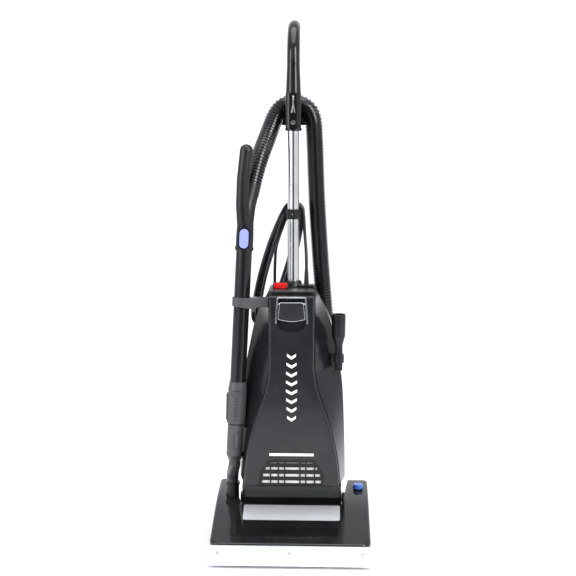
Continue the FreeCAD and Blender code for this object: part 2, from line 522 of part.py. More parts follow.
hollow = rod(HOOD_R - WALL, (-HOOD_HALF + WALL, PIVOT_Y, PIVOT_Z), X, 2 * (HOOD_HALF - WALL))
hollow = hollow.fuse(prism_x(hollow_chin, -HOOD_HALF + WALL, HOOD_HALF - WALL))
hood = hood.cut(hollow)
# air way up from the motor into the housing
hood = hood.cut(rod(22, (0, 30, 120), Z, 40))
# the underside of the drum is left open
under = prism_x([(PIVOT_Y, PIVOT_Z - 18), (PIVOT_Y - 80, -40), (PIVOT_Y + 80, -40)], -90, 90)
hood = hood.cut(under)
BUSH_R = PIN_R + 3
hood = hood.cut(both(rod(BUSH_R, (HOOD_HALF - 10, PIVOT_Y, PIVOT_Z), X, 20)))
keep("motor_hood", hood)
bush = rod(BUSH_R, (HOOD_HALF - WALL, PIVOT_Y, PIVOT_Z), X, WALL)
bush = bush.fuse(rod(BUSH_R + 3, (HOOD_HALF, PIVOT_Y, PIVOT_Z), X, EAR_GAP - 0.8))
keep("pivot_bushes", both(bush.cut(rod(PIN_R + FIT, (HOOD_HALF - 10, PIVOT_Y, PIVOT_Z), X, 20))))

# ---- motor: can, end bracket, rotor ---------------------------------------
CAN0, CAN1 = -82.0, 70.0
can = rod(MOTOR_R, (CAN0, PIVOT_Y, PIVOT_Z), X, CAN1 - CAN0)
can = can.cut(rod(MOTOR_R - 2.5, (CAN0 + 2.5, PIVOT_Y, PIVOT_Z), X, CAN1 - CAN0 - 5))
can = can.cut(rod(SHAFT_R + FIT, (CAN0 - 1, PIVOT_Y, PIVOT_Z), X, 300))
can = can.cut(rod(17, (-10, PIVOT_Y, PIVOT_Z + 20), Z, 40))
stack = ring(MOTOR_R - 2.5, 24, (0, PIVOT_Y, PIVOT_Z), X, 36)
keep("motor_stator", stack)
mount = box(CAN0 + 8, CAN0 + 14, PIVOT_Y - 10, PIVOT_Y + 10, PIVOT_Z + MOTOR_R - 4, PIVOT_Z + HOOD_R)
mount = mount.fuse(mount.translated(V(CAN1 - CAN0 - 22, 0, 0)))
mount = mount.common(ring(HOOD_R - WALL - FIT, MOTOR_R - 1, (-200, PIVOT_Y, PIVOT_Z), X, 400))
keep("motor_can", can.fuse(mount))
shaft = rod(SHAFT_R, (CAN0 + 4, PIVOT_Y, PIVOT_Z), X, BELT_X + 6 - CAN0 - 4)
armature = rod(23.4, (-2, PIVOT_Y, PIVOT_Z), X, 40)
fan = ring(9, SHAFT_R, (-62, PIVOT_Y, PIVOT_Z), X, 20).fuse(
    ring(40, SHAFT_R, (-62, PIVOT_Y, PIVOT_Z), X, 2))
for k in range(9):
    blade = box(-61, -46, -1, 1, 8, 40)
    blade.rotate(V(0, 0, 0), X, 40 * k)
    fan = fan.fuse(blade.translated(V(0, PIVOT_Y, PIVOT_Z)))
keep("motor_fan", fan.cut(rod(SHAFT_R, (-100, PIVOT_Y, PIVOT_Z), X, 100)))
pulley = ring(MOTOR_PULLEY_R, SHAFT_R, (BELT_X - 6, PIVOT_Y, PIVOT_Z), X, 12)
for x0 in (BELT_X - 6, BELT_X + 4.8):
    pulley = pulley.fuse(ring(8, SHAFT_R, (x0, PIVOT_Y, PIVOT_Z), X, 1.2))
keep("motor_rotor", shaft.fuse(armature).fuse(pulley))

# ---- handle tube, socket, grip ---------------------------------------------
COLLAR_SCREW_Z = 921.0
tube = ring(TUBE_R, TUBE_R - TUBE_WALL, (0, TUBE_Y, TUBE_LOW), Z, TUBE_HIGH - TUBE_LOW)
keep("handle_tube", tube.cut(rod(2.5, (0, 0, COLLAR_SCREW_Z), Y, TUBE_Y)))
half = COLLAR_HALF
collar = prism_z([(-half, TUBE_Y - half), (half, TUBE_Y - half), (half, TUBE_Y + half), (-half, TUBE_Y + half)],
                 COLLAR_LOW, COLLAR_HIGH, 11)
collar = collar.fuse(cone(FLANGE_R - 4, FLANGE_R, (0, TUBE_Y, COLLAR_LOW - FLANGE_T), Z, FLANGE_T))
rib = prism_y([(-2.4, 980), (2.4, 980), (2.6, 956), (6.2, 940), (-6.2, 940), (-2.6, 956)],
              TUBE_Y - half - 2.2, TUBE_Y - half + 3, [2, 2, 8, 2, 2, 8])
collar = collar.fuse(rib).fuse(ring(7.0, 5.6, (0, TUBE_Y - half - 1.2, COLLAR_SCREW_Z), Y, 4))
collar = collar.cut(rod(TUBE_R + FIT, (0, TUBE_Y, 880), Z, TUBE_HIGH - 880 + 0.5))
collar = collar.cut(rod(2.5, (0, 0, COLLAR_SCREW_Z), Y, TUBE_Y))
# saddle behind the socket that carries the hose, with an upturned lip
saddle = ring(HOOK_R, HOOK_R - 3.5, (0, TUBE_Y + half - 1, HOOK_Z), Y, 2 * (HOOK_Y - TUBE_Y - half) + 2)
saddle = saddle.cut(box(-60, 60, 0, 200, HOOK_Z - 60, HOOK_Z - 4))
lip = rod(HOOK_R + 12, (0, 2 * HOOK_Y - TUBE_Y - half + 1, HOOK_Z), Y, 4)
lip = lip.cut(box(-60, 60, 0, 200, HOOK_Z - 60, HOOK_Z - 4)).cut(
    rod(HOOK_R - 9, (0, 0, HOOK_Z), Y, 200))
web = box(-2, 2, TUBE_Y + half - 1, 2 * HOOK_Y - TUBE_Y - half + 2, HOOK_Z - 3.9, HOOK_Z + HOOK_R - 2)
saddle = saddle.fuse(lip).fuse(web)
keep("handle_collar", collar.fuse(saddle))
handle_screw = slotted_screw(5.2, 2.0, 2.4, 20, (0, TUBE_Y - half - 0.2, COLLAR_SCREW_Z), V(0, -1, 0))

GRIP_BEND = TOTAL_HEIGHT - GRIP_R - GRIP_STRAIGHT_TOP
tip = HALF_DEPTH - GRIP_R
g0, g1 = V(0, TUBE_Y, COLLAR_HIGH), V(0, TUBE_Y, GRIP_STRAIGHT_TOP)
g2 = V(0, TUBE_Y + GRIP_BEND * (1 - math.sqrt(0.5)), GRIP_STRAIGHT_TOP + GRIP_BEND * math.sqrt(0.5))
g3, g4 = V(0, TUBE_Y + GRIP_BEND, TOTAL_HEIGHT - GRIP_R), V(0, tip, TOTAL_HEIGHT - GRIP_R)
grip_path = Part.Wire([Part.LineSegment(g0, g1).toShape(), Part.Arc(g1, g2, g3).toShape(),
                       Part.LineSegment(g3, g4).toShape()])
grip = pipe(grip_path, GRIP_R, g0, Z).fuse(Part.makeSphere(GRIP_R, g4))
grip = grip.fuse(cone(half - 0.5, GRIP_R, (0, TUBE_Y, COLLAR_HIGH), Z, 60))
keep("handle_grip", grip)

# ---- top cap with the tube clamp and the switch housing ----------------------
CAP_T = 7.0
cap_half = PANEL_EDGE[0][0] + 3
cap = prism_z([(-cap_half, HOUSING_FRONT_Y + 4), (cap_half, HOUSING_FRONT_Y + 4), (cap_half, HOUSING_REAR_Y - 4),
               (-cap_half, HOUSING_REAR_Y - 4)], HOUSING_TOP, HOUSING_TOP + CAP_T, 9)
cap = soften(cap, 2.5, lambda b: b.ZLength < 0.1 and b.ZMin > HOUSING_TOP + 1)
cap = cap.fuse(cone(21, 17, (0, TUBE_Y - 3, HOUSING_TOP + CAP_T), Z, 12).common(
    box(-60, 60, 0, HOUSING_REAR_Y - 4, HOUSING_TOP, 700)))
SWITCH_X, SWITCH_HALF, SWITCH_Y = -26.5, 14.5, 20.0
SWITCH_Z = HOUSING_TOP + 15.0
pod = prism_x([(SWITCH_Y - 7, HOUSING_TOP + 1), (SWITCH_Y - 7, HOUSING_TOP + 10), (SWITCH_Y + 2, HOUSING_TOP + 17),
               (SWITCH_Y + 18, HOUSING_TOP + 17), (SWITCH_Y + 26, HOUSING_TOP + 8),
               (SWITCH_Y + 26, HOUSING_TOP + 1)], SWITCH_X - SWITCH_HALF - 2.5, SWITCH_X + SWITCH_HALF + 2.5)
pocket = box(SWITCH_X - SWITCH_HALF, SWITCH_X + SWITCH_HALF, SWITCH_Y - 8, SWITCH_Y + 13, HOUSING_TOP + 3,
             HOUSING_TOP + 30)
cap = cap.fuse(pod).cut(pocket)
cap = cap.fuse(box(12, cap_half - 6, 26, 54, HOUSING_TOP + 1, HOUSING_TOP + 12))
cap = cap.cut(rod(TUBE_R + FIT, (0, TUBE_Y, 500), Z, 200))
EXIT_X, EXIT_Y = 29.0, 66.0
cap = cap.cut(rod(5.0, (EXIT_X, EXIT_Y, 500), Z, 200))
keep("top_cap", cap)
rocker = prism_x([(-7, -4.5), (-7.5, 3.5), (0, 1.8), (7.5, 5.0), (7, -4.5)], -SWITCH_HALF + 0.5, SWITCH_HALF - 0.5)
rocker = rocker.fuse(rod(1.6, (-SWITCH_HALF + 0.2, 0, -2), X, 2 * SWITCH_HALF - 0.4))
keep("power_switch", rocker.translated(V(SWITCH_X, SWITCH_Y + 1.5, HOUSING_TOP + 12)))

# ---- cord hooks and strain relief -------------------------------------------
LIP_T = 5.0
HUB_Y0 = TUBE_Y + TUBE_R + 1.8
hub_y1 = COIL_Y + COIL_DEPTH + 1.5
saddle_z = COIL_TOP.z
band = ring(TUBE_R + 3, TUBE_R + FIT, (0, TUBE_Y, saddle_z - 11), Z, 22)
band = band.fuse(box(-6, 6, TUBE_Y + TUBE_R + 1, HUB_Y0 - 0.3, saddle_z - 8, saddle_z + 8).common(
    box(-6, 6, 0, HUB_Y0 - 0.3, 0, 1000)))
band = band.cut(box(-30, 30, HUB_Y0 - 0.3, 200, 0, 1000)).cut(rod(TUBE_R + FIT, (0, TUBE_Y, 600), Z, 200))
band = band.cut(rod(2.2, (COIL_TOP.x, 0, saddle_z), Y, 200).cut(rod(TUBE_R, (0, TUBE_Y, 600), Z, 200)))


def lipped_hook(centre, start_y, up):
    """A round peg through the coil with a tongue behind the cord."""
    hub = rod(HUB_R, (centre.x, start_y, centre.z), Y, hub_y1 - start_y)
    reach = COIL_THICK + HUB_R - 3
    tongue = prism_y([(-9, 0), (9, 0), (7, reach), (-7, reach)], hub_y1, hub_y1 + LIP_T, [8.9, 8.9, 6, 6])
    if not up:
        tongue.rotate(V(0, 0, 0), Y, 180)
    tongue = tongue.translated(V(centre.x, 0, centre.z))
    return hub.fuse(tongue).fuse(rod(9, (centre.x, hub_y1, centre.z), Y, LIP_T))


upper = lipped_hook(COIL_TOP, HUB_Y0, True).fuse(
    rod(2.2 - FIT, (COIL_TOP.x, TUBE_Y + TUBE_R + 0.4, COIL_TOP.z), Y, 4))
keep("cord_hook_upper", upper)
keep("hook_mounts", Part.makeCompound([band, lipped_hook(COIL_FOOT, HOUSING_REAR_Y, False)]))
RELIEF_L = 34.0
relief = cone(6.6, 4.6, (EXIT_X, EXIT_Y, HOUSING_TOP + CAP_T), Z, RELIEF_L).fuse(
    rod(4.9, (EXIT_X, EXIT_Y, HOUSING_TOP), Z, CAP_T))
keep("strain_relief", relief.cut(rod(CORD_R + PLAY, (EXIT_X, EXIT_Y, HOUSING_TOP + 5), Z, 60)))

# ======================= bag door ===========================================
DOOR_REAR_Y = HOUSING_FRONT_Y - DOOR_GAP
DOOR_EDGE = PANEL_EDGE[:-1] + [(103.6, DOOR_LOW)]
door_outline = outline(DOOR_EDGE, DOOR_REAR_Y, 0, DOOR_LOW)
door = Part.Face(door_outline).extrude(V(0, DOOR_FACE_Y - DOOR_REAR_Y, 0))
door = soften(door, 4.5, lambda b: b.YLength < 0.1 and abs(b.YMin - DOOR_FACE_Y) < 0.1)
core_wire = outline(DOOR_EDGE, DOOR_REAR_Y + 1, WALL, DOOR_LOW)
door = door.cut(Part.Face(core_wire).extrude(V(0, DOOR_FACE_Y + WALL - DOOR_REAR_Y - 1, 0)))
# grille window
GRILLE_LOW, GRILLE_HIGH = 141.0, 198.0
GRILLE_LOW_HALF, GRILLE_HIGH_HALF = 70.0, 50.0


def grille_plan(inset, y0, y1, radius):
    return prism_y([(-GRILLE_HIGH_HALF + inset, GRILLE_HIGH - inset), (GRILLE_HIGH_HALF - inset, GRILLE_HIGH - inset),
                    (GRILLE_LOW_HALF - inset, GRILLE_LOW + inset + 28), (GRILLE_LOW_HALF - inset, GRILLE_LOW + inset),
                    (-GRILLE_LOW_HALF + inset, GRILLE_LOW + inset),
                    (-GRILLE_LOW_HALF + inset, GRILLE_LOW + inset + 28)], y0, y1, radius)


door = door.cut(grille_plan(0, DOOR_FACE_Y - 1, DOOR_REAR_Y, 3))
# latch bay: a shallow pocket with a finger scoop under the latch
BAY_TOP, BAY_LOW, BAY_HALF = 551.0, 478.0, 31.0
bay = prism_y([(-BAY_HALF + 3, BAY_TOP), (BAY_HALF - 3, BAY_TOP), (BAY_HALF, 500), (BAY_HALF - 5, BAY_LOW + 7),
               (0, BAY_LOW), (-BAY_HALF + 5, BAY_LOW + 7), (-BAY_HALF, 500)],
              DOOR_FACE_Y - 1, DOOR_FACE_Y + 9, [4, 4, 6, 6, 40, 6, 6])
bay_back = prism_y([(-BAY_HALF, BAY_TOP + 2), (BAY_HALF, BAY_TOP + 2), (BAY_HALF + 3, 500),
                    (BAY_HALF - 3, BAY_LOW + 3), (0, BAY_LOW - 4), (-BAY_HALF + 3, BAY_LOW + 3),
                    (-BAY_HALF - 3, 500)], DOOR_FACE_Y + 2, DOOR_FACE_Y + 12, 5)
door = door.fuse(bay_back).cut(bay)
LATCH_TOP, LATCH_LOW = 543.0, 503.0
LATCH_Y = DOOR_FACE_Y + 1.5
pin_z = LATCH_TOP - 4
door = door.cut(rod(2.0 + FIT, (-BAY_HALF - 1.5, LATCH_Y + 2.5, pin_z), X, 2 * BAY_HALF + 3))
# hinge eyes round the housing's pins
eye = box(HINGE_X - 4, HINGE_X + 4, HINGE_Y - 4, HINGE_Y + 4, DOOR_LOW + 0.2, HINGE_Z + 4)
door = door.fuse(both(eye))
door = door.cut(both(box(HINGE_X - 9.6, HINGE_X - 4, HINGE_Y - 4.5, DOOR_REAR_Y + 1, DOOR_LOW - 1, HINGE_Z + 5)))
door = door.cut(both(rod(2.0 + FIT, (HINGE_X - 12, HINGE_Y, HINGE_Z), X, 15)))
keep("door_shell", door)

latch = prism_y([(-25.5, LATCH_TOP), (25.5, LATCH_TOP), (31 - 1.5, LATCH_LOW + 3), (0, LATCH_LOW - 3),
                 (-31 + 1.5, LATCH_LOW + 3)], LATCH_Y - 3.5, LATCH_Y, [3, 3, 3, 60, 3])
latch = soften(latch, 1.2, lambda b: b.YLength < 0.1 and b.YMin < LATCH_Y - 3)
latch = latch.fuse(rod(2.0, (-BAY_HALF - 0.8, LATCH_Y + 2.5, pin_z), X, 2 * BAY_HALF + 1.6))
latch = latch.fuse(box(-20, 20, LATCH_Y - 0.5, LATCH_Y + 3, pin_z - 2, pin_z + 2))
keep("door_latch", latch)

ROW_Z = [(190.5, 2.2, 46.0), (178.0, 6.0, 56.0), (163.0, 6.5, 62.0), (148.5, 6.5, 64.0)]
BAR_X = (-45.5, -28.5, -15.0, 18.5, 31.0, 50.0)
grille = grille_plan(PLAY, DOOR_FACE_Y + 1.2, DOOR_FACE_Y + 4.2, 2.8)
for row_z, row_h, half_row in ROW_Z:
    slot = box(-half_row, half_row, DOOR_FACE_Y - 1, DOOR_FACE_Y + 6, row_z - row_h / 2, row_z + row_h / 2)
    for x in BAR_X:
        if abs(x) < half_row - 2:
            slot = slot.cut(box(x - 1.4, x + 1.4, -100, 0, 0, 300))
    grille = grille.cut(slot)
keep("vent_grille", grille)
keep("exhaust_filter", grille_plan(-2.5, DOOR_FACE_Y + 4.4, DOOR_FACE_Y + 12, 4).common(
    box(-200, 200, -200, 200, DOOR_LOW + WALL + 0.4, 300)))
seal = Part.Face(outline(DOOR_EDGE, DOOR_REAR_Y - 3.5, 3.3, DOOR_LOW)).extrude(V(0, 3, 0))
seal = seal.cut(Part.Face(outline(DOOR_EDGE, DOOR_REAR_Y - 4, 6.5, DOOR_LOW)).extrude(V(0, 4, 0)))
seal = seal.cut(both(box(HINGE_X - 12, HINGE_X + 6, -100, 0, DOOR_LOW, HINGE_Z + 8)))
seal = seal.cut(box(-BAY_HALF - 6, BAY_HALF + 6, -100, 0, 470, 700))
keep("door_seal", seal)

# ---- filter bag and its collar ----------------------------------------------
bag = Part.Face(outline([(h - 16, z) for h, z in SIDE_EDGE if 190 < z < 470], 14, 0, 186, 468))
bag = bag.extrude(V(0, 42, 0))
bag = bag.cut(rod(PORT_R + 6, (PORT_X, 40, PORT_Z), Y, 40))
bag = bag.cut(box(-24, 24, TUBE_Y - 17, 100, TUBE_LOW - 12, 500))
bag = soften(bag, 12, lambda b: b.YLength < 0.1 and b.YMin < 15)
collar_y = HOUSING_REAR_Y - WALL - 2.4
plate = box(PORT_X - 34, PORT_X + 30, collar_y, collar_y + 2, PORT_Z - 34, PORT_Z + 34)
plate = plate.cut(rod(PORT_R, (PORT_X, 0, PORT_Z), Y, 100))
keep("filter_bag", Part.makeCompound([bag, plate.fuse(ring(PORT_R + 5, PORT_R + 0.4, (PORT_X, 56.5, PORT_Z), Y, collar_y - 56.5))]))

# ---- hose port ---------------------------------------------------------------
HOSE_END = V(PORT_X, 101.0, 346.0)
pb = 22.0
py = HOSE_END.y
q0, q1 = V(PORT_X, collar_y - 1, PORT_Z), V(PORT_X, py - pb, PORT_Z)
q2, q3 = V(PORT_X, py, PORT_Z + pb), V(PORT_X, py, HOSE_END.z)
qm = V(PORT_X, py - pb * (1 - math.sin(math.pi / 4)), PORT_Z + pb * (1 - math.cos(math.pi / 4)))
port_path = Part.Wire([Part.LineSegment(q0, q1).toShape(), Part.Arc(q1, qm, q2).toShape(),
                       Part.LineSegment(q2, q3).toShape()])
port = pipe(port_path, PORT_R - 0.4, q0, Y).cut(pipe(port_path, PORT_R - 3, q0, Y))
port = port.fuse(ring(PORT_R + 9, PORT_R - 0.5, (PORT_X, HOUSING_REAR_Y, PORT_Z), Y, 3))
port = port.fuse(ring(HOSE_R + 2.5, PORT_R - 1, (PORT_X, py, HOSE_END.z - 22), Z, 22))
keep("hose_port", port)

# ======================= wand ===============================================
LEAN = math.radians(WAND_LEAN)
AXIS = V(math.sin(LEAN), 0, math.cos(LEAN))


def on_wand(z, dx=0.0, dy=0.0):
    """A point at a height along the wand's axis, stepped aside from it."""
    return V(WAND_X + (z - WAND_Z) * math.tan(LEAN) + dx * math.cos(LEAN), WAND_Y + dy,
             z - dx * math.sin(LEAN))


def lean(shape):
    """Stand a piece made on the Z axis through the wand's point along the wand."""
    shape = shape.copy()
    shape.rotate(V(WAND_X, WAND_Y, WAND_Z), Y, WAND_LEAN)
    return shape


def wrod(radius, z0, z1):
    return rod(radius, (WAND_X, WAND_Y, z0), Z, z1 - z0)


def wring(outer, inner, z0, z1):
    return wrod(outer, z0, z1).cut(wrod(inner, z0 - 1, z1 + 1))


def wbox(x0, x1, y0, y1, z0, z1):
    return box(WAND_X + x0, WAND_X + x1, WAND_Y + y0, WAND_Y + y1, z0, z1)


SOCKET_LOW, SOCKET_HIGH = 194.0, 264.0
LOCK_LOW, LOCK_HIGH = 268.0, 360.0
GRIP_LOW = 648.0
INNER_LOW = SOCKET_LOW + 8.0

keep("wand_tube", lean(wring(WAND_R, WAND_R - WAND_WALL, LOCK_LOW + 2, GRIP_LOW + 30)))
inner_tube = wring(INNER_R, INNER_R - 1.6, INNER_LOW, 470)
for k in range(8):
    inner_tube = inner_tube.cut(wbox(-3, 3, -INNER_R - 1, -INNER_R + 0.8, 286 + 22 * k, 291 + 22 * k))
keep("wand_inner_tube", lean(inner_tube))
LOCK_R = 20.5
lock = wring(LOCK_R, WAND_R + FIT, LOCK_LOW + 4, LOCK_HIGH - 16)
lock = lock.fuse(cone(LOCK_R, WAND_R + 0.8, (WAND_X, WAND_Y, LOCK_HIGH - 16), Z, 16).cut(wrod(WAND_R + FIT, 200, 400)))
lock = lock.fuse(wring(LOCK_R, INNER_R + 0.35, LOCK_LOW - 1, LOCK_LOW + 2))
lock = lock.fuse(wring(LOCK_R, WAND_R + FIT, LOCK_LOW + 2, LOCK_LOW + 4))
# thumb slide with its ribs on the front, and the outer fin
lock = lock.fuse(wbox(-9, 5, -LOCK_R - 3.5, -WAND_R - 1, 330, 340))
for k in range(8):
    lock = lock.fuse(wbox(-2.5, 3.5, -LOCK_R - 2.6, -WAND_R - 1, 274 + 6.6 * k, 277.2 + 6.6 * k))
fin = prism_y([(WAND_X - 23.5, 331), (WAND_X - 15, 336), (WAND_X - 15, 272), (WAND_X - 22, 272)],
              WAND_Y - 7, WAND_Y + 7, [3, 0, 0, 3])
# a flat on the side that faces the housing
flat = box(LOCK_R - 1.3, 40, -30, 30, LOCK_LOW - 5, LOCK_HIGH + 5)
flat.rotate(V(0, 0, 0), Z, 30)
lock = lock.fuse(fin.cut(wrod(WAND_R + 1, 200, 400))).cut(flat.translated(V(WAND_X, WAND_Y, 0)))
keep("wand_lock", lean(lock))

# handle: lower cuff with the button, forked into the grip and the hose neck
BUTTON_Z = 676.0
cuff = wring(WAND_R + 1.6, WAND_R, GRIP_LOW, GRIP_LOW + 30)
cuff = cuff.fuse(cone(WAND_R + 1.6, WAND_R + 0.6, (WAND_X, WAND_Y, GRIP_LOW + 30), Z, 26))
body = cuff.fuse(wring(WAND_R + 3.0, WAND_R + 0.5, GRIP_LOW + 2, GRIP_LOW + 8))
n0 = V(WAND_X, WAND_Y, GRIP_LOW + 40)
n1 = V(WAND_X, WAND_Y + 3, 712)
n2 = V(WAND_X + 1.5, WAND_Y + 12, 744)
NECK_END = V(WAND_X + 5.5, WAND_Y + 21, 768)
neck_axis = (NECK_END - n2).normalize()
SWIVEL_BORE = 15.8


def limb(points, radii):
    """A limb of round sections, one cone or rod after the other, balls at the bends."""
    form = None
    for p0, p1, r0, r1 in zip(points, points[1:], radii, radii[1:]):
        length = (p1 - p0).Length
        piece = Part.makeCone(r0, r1, length, p0, p1 - p0) if abs(r0 - r1) > 1e-6 else \
            Part.makeCylinder(r0, length, p0, p1 - p0)
        form = piece if form is None else form.fuse(piece)
        form = form.fuse(Part.makeSphere(r1, p1)) if p1 is not points[-1] else form
    return form


body = body.fuse(limb([n0, n1, n2, NECK_END], [17.6, 17.6, 18.2, 18.6]))
hold = [V(WAND_X - 2, WAND_Y - 2, 700), V(WAND_X - 8, WAND_Y - 6, 745), V(WAND_X - 9, WAND_Y - 7, 800),
        V(WAND_X - 5, WAND_Y - 3, 862)]
body = body.fuse(limb(hold, [15.5, 14.0, 13.6, 14.2])).fuse(Part.makeSphere(14.2, hold[-1]))
body = body.cut(limb([n0 - V(0, 0, 30), n1, n2, NECK_END + neck_axis * 2], [14.6, 14.6, 15.0, 15.6]))
body = body.cut(wrod(WAND_R, GRIP_LOW - 5, GRIP_LOW + 30))
button_cut = prism_y([(WAND_X - 10, BUTTON_Z - 21), (WAND_X + 10, BUTTON_Z - 21), (WAND_X + 10, BUTTON_Z + 21),
                      (WAND_X - 10, BUTTON_Z + 21)], WAND_Y - 40, WAND_Y - WAND_R - 0.6, 9.9)
body = body.fuse(prism_y([(WAND_X - 13, BUTTON_Z - 25), (WAND_X + 13, BUTTON_Z - 25), (WAND_X + 13, BUTTON_Z + 25),
                          (WAND_X - 13, BUTTON_Z + 25)], WAND_Y - WAND_R - 6, WAND_Y - 8, 12).cut(
    wrod(WAND_R, 600, GRIP_LOW + 30)).cut(wrod(14.6, GRIP_LOW + 30, 760)))
body = body.cut(button_cut).cut(Part.makeCylinder(SWIVEL_BORE, 12, NECK_END - neck_axis * 10, neck_axis))
body = body.cut(Part.makeCylinder(HOSE_R + 0.3, 40, NECK_END, neck_axis))
keep("wand_handle", lean(body))
button = prism_y([(WAND_X - 9.7, BUTTON_Z - 20.7), (WAND_X + 9.7, BUTTON_Z - 20.7),
                  (WAND_X + 9.7, BUTTON_Z + 20.7), (WAND_X - 9.7, BUTTON_Z + 20.7)],
                 WAND_Y - WAND_R - 8.5, WAND_Y - WAND_R - 3.4, 9.6)
button = soften(button, 1.6, lambda b: b.YLength < 0.1 and b.YMin < WAND_Y - WAND_R - 8)
button = button.cut(wbox(-30, 30, -WAND_R - 10, -WAND_R - 7.6, BUTTON_Z - 9, BUTTON_Z - 7))
keep("wand_button", lean(button))

# hose cuff that turns on the neck
SWIVEL_L = 22.0
s0 = NECK_END + neck_axis * PLAY
swivel = Part.makeCylinder(HOSE_R - 0.6, SWIVEL_L, s0, neck_axis)
swivel = swivel.fuse(Part.makeCylinder(SWIVEL_BORE - FIT, 10, s0 - neck_axis * 8, neck_axis))
swivel = swivel.cut(Part.makeCylinder(13.0, 60, s0 - neck_axis * 20, neck_axis))
keep("hose_swivel", lean(swivel))

# ---- wand socket and clip, carried by the housing ----------------------------
outer_form = housing_form(0, HOUSING_FRONT_Y, HOUSING_REAR_Y)
SPOUT_R, SPOUT_DROP, SPOUT_DY = 14.5, 12.0, 8.0
socket = lean(wring(SOCKET_R, INNER_R + 0.3, SOCKET_LOW, SOCKET_HIGH))
socket = socket.fuse(lean(wring(SOCKET_R, INNER_R - 3, SOCKET_LOW, SOCKET_LOW + 3)))
spout_low = V(on_wand(SOCKET_LOW).x - 0.4, WAND_Y + SPOUT_DY, SOCKET_LOW - SPOUT_DROP)


def spout(wall):
    foot = Part.Wire([Part.Circle(spout_low, Z, SPOUT_R - wall).toShape()])
    head = Part.Wire([Part.Circle(on_wand(SOCKET_LOW + 1.6), AXIS, SOCKET_R - wall).toShape()])
    return Part.makeLoft([foot, head], True, True)


socket = socket.fuse(spout(0).cut(spout(2.6)))
socket_web = box(on_wand(228).x + 12, -100, WAND_Y - 4, WAND_Y + 16, 202, 256)
socket = socket.fuse(socket_web.cut(outer_form).cut(lean(wrod(SOCKET_R - 1, 150, 300))))
latch_seat = prism_y([(WAND_X - 1, 214), (WAND_X + 9, 214), (WAND_X + 9, 248), (WAND_X - 1, 248)],
                     WAND_Y - SOCKET_R - 3.2, WAND_Y - SOCKET_R + 6, 4.5)
socket = socket.fuse(lean(latch_seat.cut(wrod(SOCKET_R - 1, 150, 300))))
socket = socket.cut(lean(prism_y([(WAND_X + 0.5, 216), (WAND_X + 7.5, 216), (WAND_X + 7.5, 246), (WAND_X + 0.5, 246)],
                                 WAND_Y - SOCKET_R - 5, WAND_Y - SOCKET_R - 0.6, 3.4)))
socket_latch = prism_y([(WAND_X + 0.8, 216.3), (WAND_X + 7.2, 216.3), (WAND_X + 7.2, 245.7), (WAND_X + 0.8, 245.7)],
                  WAND_Y - SOCKET_R - 4.6, WAND_Y - SOCKET_R - 0.7, 3.1)
socket = socket.cut(outer_form)
keep("wand_socket", Part.makeCompound([socket, lean(socket_latch)]))

CLIP_LOW, CLIP_HIGH = 527.0, 547.0
clip_c = on_wand((CLIP_LOW + CLIP_HIGH) / 2)
clip = lean(wring(WAND_R + 3.6, WAND_R + 0.5, CLIP_LOW, CLIP_HIGH))
mouth = prism_z([(clip_c.x, clip_c.y), (clip_c.x - 60, clip_c.y - 12), (clip_c.x - 60, clip_c.y + 50)], 500, 570)
clip = clip.cut(mouth)
front_y = WAND_Y - WAND_R - 3.6
arm = prism_y([(clip_c.x - 4, CLIP_HIGH), (-40, CLIP_HIGH), (-40, CLIP_LOW), (-76, CLIP_LOW), (-82, CLIP_LOW - 13),
               (-88, CLIP_LOW - 4), (clip_c.x - 4, CLIP_LOW)], front_y, front_y + 3.2, [2, 0, 0, 3, 2, 3, 2])
arm = arm.fuse(box(-88, -44, front_y + 1, -4, CLIP_HIGH - 3, CLIP_HIGH))
arm = arm.fuse(box(-88, -44, front_y + 1, -4, CLIP_LOW, CLIP_LOW + 3))
arm = arm.cut(outer_form).cut(lean(wrod(WAND_R + 0.5, 480, 600)))
keep("wand_clip", clip.fuse(arm))

# ---- crevice tool and its holder ---------------------------------------------
BLADE_W, BLADE_D = 16.0, 20.0
BLADE_TOP = 442.0


def blade_plan(grow, z):
    w, d = BLADE_W / 2 + grow, BLADE_D / 2 + grow
    return rounded_wire([V(TOOL_X + 1 - w, TOOL_Y - d, z), V(TOOL_X + 1 + w, TOOL_Y - d, z),
                         V(TOOL_X + 1 + w, TOOL_Y + d, z), V(TOOL_X + 1 - w, TOOL_Y + d, z)], 6.5 + grow)


def tool_form(grow):
    """Cuff, shoulder and blade; grow is minus the wall for the air way."""
    form = cone(TOOL_CUFF_R - 0.8 + grow, TOOL_CUFF_R + grow, (TOOL_X, TOOL_Y, 463), Z, TOOL_TOP - 463)
    ring_low = Part.Wire([Part.Circle(V(TOOL_X, TOOL_Y, 463), Z, TOOL_CUFF_R - 0.8 + grow).toShape()])
    form = form.fuse(Part.makeLoft([ring_low, blade_plan(grow, BLADE_TOP)], True, False))
    return form.fuse(Part.Face(blade_plan(grow, TOOL_END)).extrude(V(0, 0, BLADE_TOP - TOOL_END)))


tool = tool_form(0).cut(tool_form(-2.0))
slant = prism_x([(TOOL_Y - 20, TOOL_END - 1), (TOOL_Y + 20, TOOL_END - 1), (TOOL_Y + 20, TOOL_END + 14)], 60, 140)
keep("crevice_tool", tool.cut(slant))
HOLD_LOW, HOLD_HIGH = 404.0, 422.0
outer = Part.Face(blade_plan(3.2, HOLD_LOW)).extrude(V(0, 0, HOLD_HIGH - HOLD_LOW))
holder = soften(outer, 1.5, lambda b: b.ZLength < 0.1)
holder = holder.fuse(box(TOOL_X - 16, TOOL_X - 6, TOOL_Y - 6, TOOL_Y + 18, HOLD_LOW + 2, HOLD_HIGH - 2))
holder = holder.cut(Part.Face(blade_plan(0.5, HOLD_LOW - 5)).extrude(V(0, 0, 60)))
keep("tool_holder", holder.cut(outer_form))

